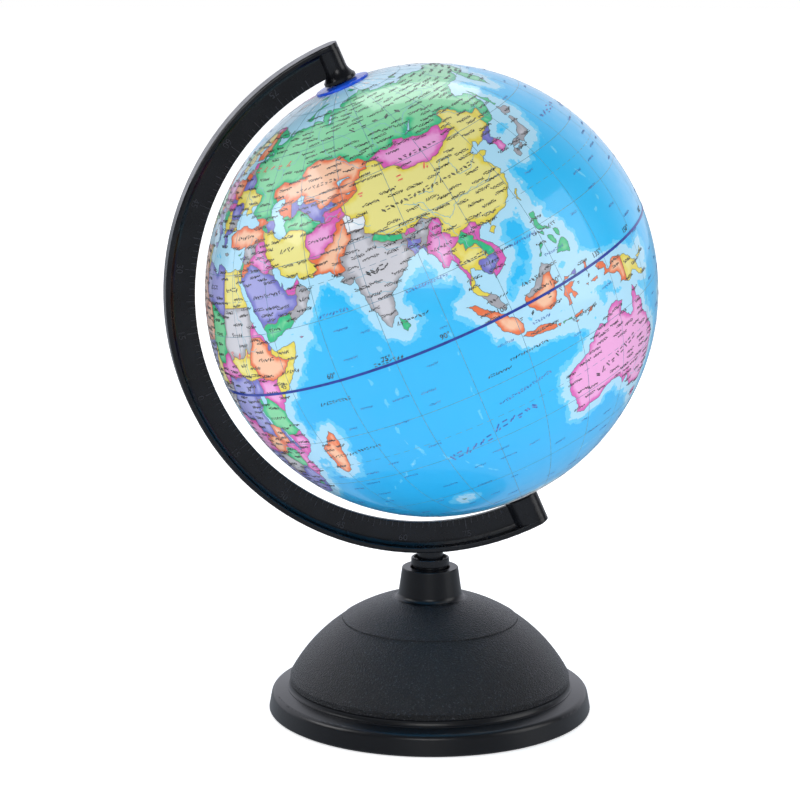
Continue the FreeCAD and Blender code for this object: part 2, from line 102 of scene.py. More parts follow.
# ---- the map: outlines in degrees, longitude then latitude --------------------------------
COASTS = {
    "africa": """32.3 31.2, 31 31.5, 29 30.9, 25 31.6, 23.2 32.3, 21.8 32.9, 20 32.6, 20 30.9,
        19 30.3, 17.8 30.9, 15.3 32.3, 13.2 32.9, 11 33.3, 10.1 34.1, 10.9 35.3, 10.6 36, 11 37,
        9.8 37.3, 7 36.9, 3 36.8, 0 35.8, -2 35.1, -4.3 35.2, -5.4 35.9, -6.2 35, -7.2 33.8,
        -9.2 32.4, -9.7 30.5, -11 28.8, -13 27.7, -14.8 26, -16 23.8, -17 21, -16.3 19.2,
        -16.5 16.5, -17.4 14.7, -16.7 12.5, -15 10.8, -13.3 9, -12.5 7.5, -10.5 6, -9 5, -7.5 4.4,
        -5 5.1, -3 5.1, -1 5.1, 1 5.9, 2.8 6.4, 4.5 6.3, 5.5 4.9, 6.2 4.3, 8 4.5, 9 4, 9.8 3, 9.6 1,
        9 -0.7, 9.5 -2.3, 11 -3.8, 12 -5, 12.5 -6.3, 13.2 -8.8, 13.7 -10.7, 13.4 -12.5, 12.3 -15,
        11.8 -17.2, 12.5 -19, 14.3 -22.3, 14.6 -25, 15.3 -27.3, 16.9 -29.3, 18.2 -32, 18.3 -34.1,
        19.8 -34.7, 22.5 -34.1, 25.7 -34, 28 -32.9, 30.4 -31, 31.5 -29.2, 32.8 -27, 32.8 -25.8,
        35.3 -24, 35.5 -22, 34.8 -20, 36.5 -18.5, 39 -17, 40.6 -15, 40.5 -12.5, 40.3 -10.5, 39.3 -8,
        38.8 -6.3, 39.2 -4.8, 40.2 -2.7, 41.6 -1.7, 43.2 0.4, 45.5 2.2, 47.8 4.5, 49.3 7, 50.8 9.3,
        51.2 11.9, 49 11.3, 47 11.1, 44.8 10.4, 43.3 11.4, 42.7 12.6, 41 14.7, 39.4 15.5, 38.2 18,
        37.3 19, 37.2 21, 35.6 23.9, 34.5 26, 33.2 28.2, 32.6 29.9""",
    "eurasia": """32.6 29.9, 33.3 28.6, 34.2 27.8, 34.9 29.5, 34.6 28.1, 35.3 28, 36.5 26.1,
        37.3 24.5, 39 22.2, 39.2 20.8, 40.8 19, 41.9 17.2, 42.7 15.7, 43.3 12.8, 45 12.8, 48 14,
        52 15.6, 53.5 16.8, 55.2 17.5, 57.8 19, 58.6 20.6, 59.8 22.4, 58.5 23.7, 56.8 24.3,
        56.4 26.3, 56 25.8, 54.2 24.2, 51.8 24.1, 51.5 25.2, 51.2 26.1, 50.8 25, 50 26.6, 48.7 28.2,
        48 29.8, 48.9 30.2, 50.2 30, 51.2 27.9, 52.7 27.2, 54.7 26.6, 56.8 27.1, 57.2 25.9, 59 25.4,
        61.6 25.2, 64.5 25.3, 66.5 25.4, 67 24.8, 68.2 23.7, 70.2 22.9, 69 22.3, 70.9 20.8,
        72.2 21.2, 72.6 22.2, 72.8 20.5, 73 18, 73.9 15.5, 74.9 13, 76.2 10, 77.5 8.1, 78.2 9,
        79.2 10.3, 79.9 10.4, 80.3 13.3, 80.1 15.2, 81.3 16, 82.3 16.7, 84.5 18.6, 86.5 20, 87 21.3,
        88.5 21.7, 90.3 22, 91.7 22.7, 92.2 21, 93.7 19.3, 94.5 17.5, 94.3 16, 95.5 15.8, 96.9 17.2,
        97.7 16, 98.2 13.8, 98.7 11.5, 98.5 9.5, 98.3 8.2, 99.5 6.7, 100.4 5.5, 101 3.6, 102.3 2.1,
        103.5 1.3, 104.2 1.4, 103.4 3.9, 103 5.4, 101.8 6.2, 100.6 7.2, 100 9, 99.3 9.4, 99.6 11.8,
        100.1 13.4, 100.9 13.3, 101 12.6, 102.6 12, 103.5 10.6, 104.9 10.2, 104.8 8.8, 106.7 10,
        108.2 11, 109.3 12, 109.2 13.8, 108.3 15.9, 106.6 17.8, 105.7 19, 106.7 20.7, 108.2 21.5,
        109.6 21.5, 109.9 20.4, 110.6 21.2, 113 22, 114.3 22.4, 116.7 23.2, 118.5 24.6, 119.6 26,
        120.8 27.9, 121.9 29.5, 120.9 30.4, 121.9 31.2, 120.8 32.6, 119.3 34.9, 120.4 36.1,
        122.4 36.9, 120.9 37.8, 119 37.3, 117.8 38.6, 118.9 39.2, 121 40.8, 122.1 40.4, 121.3 39,
        123 39.6, 124.5 39.9, 125.3 39.3, 125.1 38, 126.6 37.5, 126.4 36, 126.5 34.4, 128 34.9,
        129.3 35.4, 129.4 37, 128.3 38.6, 127.5 39.6, 129.6 40.9, 130.7 42.3, 132.2 43.2, 135 43.5,
        138 46.3, 140.2 48.5, 140.5 50.5, 141.4 52.5, 141.3 53.2, 139.8 54.2, 137.5 54, 135.3 54.7,
        138 57, 142.3 59.2, 147 59.4, 151 59.2, 155 59.6, 159 61.5, 163 62.2, 160.3 60.7,
        156.8 57.8, 155.6 55.5, 156.7 51.2, 158.5 52.7, 160 54.2, 162.2 55, 162.8 57.5, 163.3 59.5,
        166 60, 170.3 60, 173.5 61.6, 177.5 62.5, 179.5 62.6, 178.5 64.5, 181.5 65.5, 184.5 64.9,
        187.3 64.4, 190.2 66.1, 187 67, 184 67.3, 181 68.7, 178 69.3, 173 69.8, 170.5 69, 166 69.5,
        161.5 69.4, 160 69.7, 155 71, 150 71.5, 143.5 72.4, 140 72.6, 139 71.7, 135 71.5, 131 71,
        129.5 71, 129 72.8, 126.5 73.5, 123 73, 118 73.2, 113.5 73.6, 110 74, 112.8 76, 107 76.7,
        104.3 77.7, 100 76.5, 95 76.1, 88 75.2, 86.5 74, 81 73.6, 80.6 72.5, 82.5 71.8, 80 72,
        78 72.3, 74.8 72.8, 73 71.3, 74 69, 73.7 67, 71.5 66.4, 72 68, 72.5 70.5, 72.8 72.7,
        69.5 72.8, 67 70.3, 67.2 69, 68.8 68.3, 65 69.2, 60.5 69.7, 60.2 68.5, 57 68.5, 54 68.2,
        52 68.6, 46.5 68, 46 66.8, 44 66.3, 44.2 68.2, 43.3 68.7, 42 66.5, 40 64.8, 38 64.2,
        34.8 64.4, 34.4 65.8, 32.5 67.1, 36 66.6, 40.5 66.4, 41.2 67.2, 38 68.4, 33 69.5, 31 70.3,
        27 71, 23 70.5, 19 69.8, 15.5 68.5, 13 66.2, 11 64.5, 8 63, 5.2 61.8, 5.2 59.5, 7 58.1,
        9.5 59, 10.7 59.4, 11.5 58, 12.8 56, 14.3 55.5, 16 56.2, 16.6 58, 18.8 60, 17.3 61.5,
        18 62.8, 21 64.3, 22.2 65.7, 24.8 65.5, 25.3 64.7, 22 63.2, 21.3 61.3, 22.8 59.9, 25.5 60.3,
        28.5 60.6, 29.8 60, 27.5 59.5, 24 59.3, 23.7 58.5, 24.3 57.2, 22.5 57.6, 21.1 56.5,
        20.5 54.8, 18.5 54.6, 14.5 54, 11 54.2, 10.6 55.7, 10.6 57.7, 8.2 56.8, 8.3 54.8, 8.7 53.8,
        6.5 53.5, 4.5 52.4, 3.5 51.5, 1.6 50.5, 0.2 49.6, -1.5 49.6, -1.8 48.6, -4.7 48.5,
        -2.5 47.3, -1.2 45.9, -1.4 43.5, -4 43.4, -8 43.7, -9.2 43, -8.8 41, -9.4 38.7, -8.9 37,
        -7.3 37.1, -6 36.2, -4.5 36.7, -2 36.8, -0.5 38.3, -0.3 39.7, 1 41, 3.2 42, 3.2 43.2,
        5 43.3, 7.2 43.6, 9 44.4, 10.3 43.5, 11.2 42.4, 13 41.2, 15 40.2, 16 38.9, 15.8 38, 17 39,
        16.9 40.3, 18.4 40.2, 16.5 41.6, 14.2 42.6, 13.6 43.7, 12.3 45.2, 13.7 45.6, 14.5 45,
        16.5 43.4, 19.3 42, 19.4 40.5, 21 38.9, 21.7 37, 22.9 36.7, 23.2 37.9, 24 38, 23 39.3,
        22.7 40.4, 24 40.1, 26.2 40.8, 28.9 41.1, 28 42.1, 27.9 43.2, 28.7 44.4, 29.8 45.5,
        31.5 46.6, 33 46.1, 32.7 45.4, 33.6 44.5, 35.3 45.1, 36.6 45.4, 35.2 46.2, 38.3 47.2,
        39.3 47.2, 38 46, 37.2 45.2, 38.3 44.4, 40 43.4, 41.6 42.4, 41.5 41.5, 39.5 41.1, 37 41.2,
        35 42, 33 42, 31 41.2, 29.1 41.2, 29 40.9, 27.5 40.4, 26.2 39.8, 26.9 38.5, 27.3 37,
        28.5 36.8, 30.5 36.6, 32.2 36.1, 34 36.3, 36 36.8, 35.8 35.5, 35.5 33.8, 34.9 32.3,
        34.2 31.3, 32.3 31.2""",
    "australia": """142.5 -10.8, 143.8 -14.3, 145.4 -15, 146.3 -18.9, 149 -20.5, 150.8 -23.3,
        153 -25.3, 153.6 -28.5, 152.5 -32.4, 150.2 -36, 149.9 -37.5, 146.4 -39, 144.5 -38.2,
        141 -38.1, 139.6 -36.2, 138.1 -35.6, 138.3 -34.2, 137.8 -32.6, 137 -33.8, 135.6 -34.9,
        134.2 -32.7, 131.2 -31.5, 126 -32.3, 123.8 -33.9, 120 -33.9, 117.9 -35.1, 115.1 -34.3,
        115.8 -32, 114.2 -28.5, 113.5 -26.3, 113.7 -24, 113.8 -22, 116.7 -20.7, 119 -20,
        121.3 -19.3, 122.3 -17.3, 123.7 -17.2, 124.6 -15.4, 126.8 -14, 128.2 -14.9, 129.6 -14.9,
        130.6 -12.5, 132.6 -11.4, 135.5 -12.1, 136.9 -12.3, 135.5 -14.8, 137.8 -16.2, 139.5 -17.5,
        140.9 -17.1, 141.6 -14, 141.7 -12.5""",
    "new_guinea": """131 -0.8, 132.5 -0.4, 134.1 -0.9, 134.3 -3, 135.2 -3.3, 137.8 -1.5, 141 -2.6,
        144.5 -3.8, 145.8 -5.3, 147.6 -6, 147.2 -6.8, 148.5 -9, 150.7 -10.3, 149.8 -10.6,
        147.5 -9.9, 144.6 -7.7, 142.8 -9.3, 141 -9.1, 138 -8.3, 138.8 -7, 137.8 -5.2, 133.8 -4,
        132.8 -4, 133.8 -2.3, 132 -2.1""",
    "borneo": """109 1, 109.7 2, 111.3 2.5, 113 3.2, 114.8 4.9, 116.8 7, 119.2 5.3, 117.9 4.1,
        117.8 2.5, 119 1, 117.5 0.6, 117.5 -1, 116.3 -3, 114.5 -4, 111.8 -3.4, 110 -1.5, 109.1 -0.4""",
    "sumatra": """95.3 5.6, 97.5 5.2, 98.7 3.8, 100.5 2.3, 103 0.4, 103.8 -1, 106 -3, 105.8 -5.8,
        104.5 -5.8, 102.3 -4, 100.4 -1, 98.8 1.7, 97 3.3""",
    "java": """105.2 -6.7, 106.5 -6, 108.5 -6.6, 110.8 -6.4, 112.6 -6.8, 114.4 -7.8, 114.4 -8.7,
        111 -8.2, 108 -7.8""",
    "bali": "114.7 -8.2, 115.7 -8.3, 115.2 -8.9",
    "sumbawa": "116.2 -8.3, 117.5 -8.4, 119 -8.3, 119 -8.8, 116.3 -8.9",
    "flores": "119.9 -8.4, 122.9 -8.2, 122.5 -8.8, 120 -8.9",
    "sumba": "119 -9.4, 120.8 -10, 120 -10.3",
    "timor": "123.6 -10.2, 125 -8.7, 127.2 -8.4, 125.6 -9.5",
    "sulawesi": """119.4 -5.5, 119.6 -3.5, 119 -2.6, 119.8 0.2, 121 1.3, 124.8 1.6, 124.4 0.4,
        120.6 0.5, 120 -0.8, 121.2 -0.8, 123.3 -0.9, 122.3 -1.7, 121.6 -2, 122.4 -3.3, 122.9 -4.3,
        121.6 -4.7, 121.2 -2.9, 120.4 -3, 120.4 -5.5""",
    "halmahera": "127.5 0.5, 127.9 2.1, 128.7 1.5, 128 -0.8",
    "seram": "128 -3.2, 130.6 -3, 130.4 -3.7, 128.2 -3.5",
    "buru": "126.2 -3.2, 127.1 -3.2, 126.8 -3.8",
    "new_britain": "148.5 -5.6, 150.5 -5.6, 152 -4.2, 152 -5.4, 150 -6.3",
    "luzon": """120.4 16, 120.6 18.4, 122.1 18.4, 121.6 16, 122 14.2, 124 12.8, 122.5 13.6,
        120.7 13.9, 120.2 14.8""",
    "mindanao": "122 7, 123.4 8.6, 125.4 9.7, 126.4 8, 125.6 5.8, 124.2 6.5",
    "samar": "124.4 12.5, 125.6 12, 125.2 10.3, 124.5 10.9",
    "negros": "121.9 11.8, 123.2 11.3, 123.6 10, 123 9.1, 122.4 9.8, 122 10.5",
    "palawan": "117.2 8.4, 119.4 11.3, 119.6 10.5, 117.7 8.3",
    "mindoro": "120.4 13.4, 121.4 13.2, 121.2 12.3",
    "hainan": "108.7 19.3, 110.5 20.1, 110.9 19.6, 109.5 18.3",
    "taiwan": "120.2 22.9, 121.5 25.2, 121.9 25, 120.9 22",
    "sri_lanka": "79.9 9.7, 81.3 8.5, 81.8 7, 80.6 6, 79.9 6.8",
    "kyushu": "129.8 33.2, 130.9 33.9, 131.9 33, 131.3 31.4, 130.3 31.2",
    "shikoku": "132.3 33.4, 134 34.3, 134.6 33.8, 133.2 32.8",
    "honshu": """130.9 34, 132.7 35.5, 136 35.8, 137 37, 138.8 37.8, 140 39.7, 140.3 41.1,
        141.4 41.4, 142 39.6, 141 38.2, 140.8 35.8, 139 34.8, 136.8 34.5, 135.8 33.5, 135 34.6,
        132.5 34.2""",
    "hokkaido": """140.2 42.3, 140.6 43.3, 141.7 45.4, 143 44.5, 145.3 44.2, 145.4 43.2, 143.2 42,
        141 42.5, 140.9 41.8""",
    "sakhalin": """142.2 46, 142 49, 142 52, 142.6 54.3, 143.3 52.5, 143.2 49.5, 144.5 48.8,
        143 47.2, 143.5 46.2""",
    "madagascar": """49.3 -12, 50.5 -15.5, 49.4 -18, 47.2 -25, 45 -25.6, 43.5 -23, 44.3 -20, 44 -17,
        46.5 -15.7, 48 -13.5""",
    "great_britain": """-5.5 50.1, -3.5 50.3, 1.3 51.1, 1.7 52.7, 0.2 53, -1.6 55.2, -2 57.5,
        -3.2 58.6, -5 58.5, -5.7 56.5, -4.9 54.8, -3 54, -4.5 53.2, -5 51.8, -3 51.4""",
    "ireland": "-6 52.2, -9.8 51.5, -9.9 53.9, -8 55.1, -5.6 54.6",
    "iceland": "-22.5 63.9, -18.8 63.4, -13.6 65, -16 66.5, -22.5 66.4, -24.3 65.5",
    "sicily": "12.5 37.9, 15.5 38.2, 15.1 36.7",
    "sardinia": "8.2 40.8, 9.5 41.1, 9.6 39.2, 8.4 39",
    "corsica": "8.6 42.4, 9.4 42.9, 9.2 41.5",
    "crete": "23.6 35.5, 26.3 35.3, 24.8 34.9",
    "cyprus": "32.4 34.8, 34.4 35.6, 33.9 34.9, 33 34.6",
    "zealand": "11 55.7, 12.5 56, 12.3 55.1",
    "gotland": "18.2 57.3, 19.2 57.9, 18.7 57.2",
    "svalbard": "11 79, 14 77.5, 16.5 76.7, 19 77.8, 21 78.4, 27 80, 18 80",
    "novaya_zemlya": """51.7 71.5, 55 73, 57 75.3, 61 76.3, 66 77, 68.5 76.7, 64 75.8, 60 75,
        56.8 73.2, 57.5 70.7, 53.5 70.8""",
    "franz_josef": "48 80.2, 54 80.1, 60 80.3, 62 81.5, 50 81",
    "severnaya_zemlya": "96 79, 101 79.2, 104.5 78.8, 97.5 80.9, 92 80.3",
    "new_siberian": "138 75, 142 76, 149.5 75, 144 74.9, 141 73.7",
    "wrangel": "179 71, 182 71.4, 181 70.9",
    "tasmania": "144.7 -40.8, 148.2 -40.9, 147.9 -43, 146.3 -43.6",
    "new_zealand_north": """172.7 -34.5, 175.4 -36.7, 178.4 -37.7, 177 -39.5, 175.3 -41.6,
        173.8 -39.3, 174.9 -37.6""",
    "new_zealand_south": """172.7 -40.6, 174.2 -41.5, 172.7 -43.8, 170.5 -46, 168.5 -46.6,
        166.6 -45.9, 169 -43.7, 171.5 -41.8""",
    "new_caledonia": "164 -20.2, 167 -22.3, 165.5 -21.9",
    "socotra": "53.4 12.6, 54.5 12.5, 53.9 12.3",
    "kerguelen": "68.8 -48.8, 70.4 -49.2, 69.2 -49.6",
    "falklands": "-61 -51.4, -57.9 -51.5, -59.5 -52.3",
    "tierra_del_fuego": "-71.5 -53.9, -68.6 -52.7, -65.3 -54.7, -68.5 -55.5, -71.8 -54.6",
    "cuba": """-84.8 21.9, -82.5 23.1, -79.5 22.7, -75.5 20.8, -74.2 20.2, -77.5 19.9, -78.3 21,
        -82 22.4""",
    "hispaniola": "-74.4 18.4, -73 19.9, -69.9 19.7, -68.4 18.5, -71.3 17.7",
    "jamaica": "-78.3 18.3, -76.3 18.1, -77.3 17.8",
    "puerto_rico": "-67.2 18.4, -65.7 18.3, -66.5 17.9",
    "newfoundland": "-59.3 47.7, -57.3 50.7, -55.6 51.5, -53 47.8, -55.7 46.9",
    "vancouver_island": "-128.3 50.7, -124.8 49.5, -123.5 48.4, -126 49.2",
    "baffin": """-65 61.9, -72 64.5, -78 64.5, -74 66, -72.5 67.5, -77 69.8, -86 70.5, -89 73.5,
        -81 73.7, -72 71.5, -67.5 69.5, -61.5 66.7, -67.5 63.5""",
    "victoria_island": "-105.5 69.2, -116 69.3, -117.5 71, -114 73.3, -108 73, -104.5 71",
    "banks": "-123.5 71.2, -117 73, -118 74.5, -124.5 74.1",
    "ellesmere": "-81 76.3, -77.5 78.2, -65 81.5, -65 83, -80 82.9, -91 81.5, -85.5 79.5, -88.5 76.6",
    "axel_heiberg": "-91.5 79.2, -96.5 80.3, -90 81.1, -88 79.8",
    "devon": "-80.5 74.9, -91.5 74.8, -96 76.8, -88 76.4, -80 75.7",
    "melville": "-106 75, -112 74.5, -117 75.5, -110 76.3",
    "southampton": "-80.5 64, -86 63.8, -84.5 65.8",
    "greenland": """-73 78.2, -68 76, -62 76.1, -58 75, -54 71, -53 68, -53.5 66, -51.5 64, -50 62,
        -46 60.8, -44 60, -42 62, -40.5 64.5, -37 65.8, -32 68, -24 70.5, -21.5 72, -21 74,
        -19 76.5, -19 78, -15 80.5, -12 81.5, -25 82.6, -40 82.7, -60 82, -68 80.3""",
    "north_and_south_america": """-168 65.6, -162 66.4, -163.5 67.1, -166.4 68.4, -162 70.2,
        -156.7 71.3, -150 70.5, -141 69.7, -135 69, -128 70.3, -121 69.8, -115 68.5, -109 68,
        -104 68.2, -98 67.8, -95 69, -94.5 72, -90.5 69.5, -88 68, -85.5 69.7, -82 69, -81.5 67.5,
        -86 66.3, -87 64.8, -93.5 62, -94.7 59, -92.5 57, -87 56, -82.3 55.1, -82.2 53, -79 51.3,
        -79.3 54.5, -76.6 57, -78 60, -77.5 62.5, -73.5 62.2, -70 61, -69.5 59, -67 58.3,
        -64.6 60.3, -61.5 57, -58 54.5, -56 52, -60 50.2, -66 50.2, -68.5 48.6, -65 49, -64.8 47,
        -61 46.5, -60.5 45.6, -63.5 44.6, -66 43.6, -66.9 44.9, -70 43.7, -70 41.8, -74 40.5,
        -75.3 38, -76 36.8, -75.7 35.3, -79 33.4, -81.3 31.3, -81.4 30.3, -80 27, -80.4 25.2,
        -81.8 26, -82.8 28, -84.2 30, -88 30.3, -90.5 29.2, -94 29.6, -97.2 27.7, -97.3 25.5,
        -97.8 22.3, -96 19, -94 18.2, -91.2 18.6, -90.4 21, -87 21.4, -88 18.5, -88.5 15.9,
        -83.3 15.1, -83.6 11, -81.8 9, -79.6 9.6, -77.3 8.5, -75.5 10.6, -74.8 11.1, -71.6 12.4,
        -71.8 11, -70 12, -68 10.6, -64 10.3, -62 10.6, -60.8 9, -58.5 7.2, -55 5.9, -51.6 4.3,
        -50 1.8, -50 -0.3, -47 -0.7, -44 -2.7, -41 -2.9, -37.3 -4.8, -35.1 -6, -34.9 -8.2, -37 -11,
        -38.9 -13.2, -39.2 -17.5, -41 -22, -44.5 -23, -48 -25.5, -48.8 -28.5, -52.2 -32.3,
        -54.9 -34.9, -57.9 -34.4, -57 -36.5, -58.5 -38.5, -62.2 -39, -65 -41, -63.8 -42.5,
        -65.5 -45, -67.5 -46, -65.9 -47.9, -69 -50.5, -68.4 -52.4, -71 -53.8, -74 -52, -75.3 -49,
        -74.5 -46, -73 -42, -73.6 -38, -71.6 -33, -71.5 -30, -70.4 -25, -70.3 -18.4, -75.5 -15,
        -77.2 -12, -79.5 -8, -81.3 -5, -80 -3.2, -80.9 -1, -79 1.7, -77.4 3.8, -78 7.8, -79.5 8.8,
        -80.3 7.6, -82.8 8.2, -85.7 10, -87.5 12.9, -92 14.5, -94.8 16.2, -99 16.7, -104 19,
        -105.5 20.5, -106 23, -109.3 26, -112.5 29.5, -114.8 31.6, -114.7 30.5, -111.5 26,
        -109.5 23, -112 24.7, -115 28, -117 32.4, -120.6 34.5, -122.5 37.5, -124.3 40.4, -124 44,
        -124.6 48.3, -122.6 47.5, -123 49, -127.8 52, -130.5 54.7, -133.5 57.5, -137 58.8, -143 60,
        -148 60, -151.5 59.3, -153 58.8, -158.5 56, -164.5 54.7, -158 58.3, -162 58.8, -165.5 61.5,
        -161 64, -166 64.5""",
    "antarctica": """-30 -76, -20 -74, -10 -71, 0 -69.5, 15 -69.5, 30 -69, 40 -68.5, 50 -66.5,
        60 -67.5, 70 -68.5, 73 -70, 80 -67.5, 90 -66.5, 105 -66, 115 -66.5, 130 -66, 145 -67,
        155 -69, 165 -71, 170 -72.5, 168 -77, 180 -78.5, 200 -78, 215 -76.5, 230 -74.5, 250 -73,
        260 -72.5, 285 -73, 292 -69, 297 -65, 301 -63.3, 303 -65, 299 -69, 300 -74, 310 -77.5,
        320 -78, 330 -76, 330 -88, 270 -88, 180 -88, 90 -88, 30 -88, -30 -88""",
}
LAKES = {
    "caspian": """51 46.9, 53 46.8, 53 45.3, 51.3 44.5, 50.3 44.3, 51 43.2, 52.6 42.4, 52.6 41.5,
        53.8 41, 53 39.9, 53.6 38.8, 53.9 37.3, 51.5 36.6, 49.5 37.5, 48.9 38.4, 49.3 40.2, 49 41.4,
        47.8 43, 47 44.7, 48 46, 49.5 46.6""",
    "aral": "58.5 45.5, 60 46.5, 61.5 46, 61 44.5, 59.5 43.8, 58.3 44.3",
    "baikal": """103.8 51.6, 105.5 52.2, 107.5 53.4, 109.5 55.2, 109.8 55.8, 108.5 54.9, 106.5 53.3,
        104.5 52""",
    "balkhash": "74 46.3, 74.5 45.2, 76 46.3, 79 46.5, 78.5 46.9, 75 46.9",
    "issyk_kul": "76.3 42.5, 78 42.7, 77.5 42.2",
    "ladoga": "30.2 61, 31.5 61.6, 32.8 60.8, 31.2 60",
    "onega": "34.5 62.3, 36 61.7, 35.6 61",
    "victoria": "31.8 -1, 32.5 0.3, 34.1 0.3, 34 -1.2, 33.3 -2.5, 31.8 -2.5",
    "tanganyika": "29.2 -3.5, 29.8 -5.5, 31 -8.6, 30.3 -8.3, 29.1 -5",
    "malawi": "34 -9.7, 34.9 -12, 35.2 -14.2, 34.5 -13.5, 34.2 -11",
    "superior": "-92 46.7, -89.5 48, -86.5 48.7, -84.7 46.6, -88 46.9",
    "michigan": "-87.8 42, -87.5 44.5, -85.5 45.8, -86.3 43, -87 41.7",
    "huron": "-84 45.9, -80.5 45.5, -81.7 43.3, -83.4 44.2",
    "erie": "-83.2 41.7, -80 42.7, -79 42.8, -81.5 41.6",
    "ontario": "-79.5 43.3, -76.4 44, -77 43.3",
    "winnipeg": "-98.5 53.5, -97.8 50.6, -96.4 50.6, -97.2 52.5",
    "great_slave": "-116.5 61.2, -110 62.5, -113.5 62.2",
    "great_bear": "-124 65.8, -119 66.6, -119 65.4",
    "titicaca": "-70 -15.5, -68.8 -16.3, -69.3 -15.9",
}
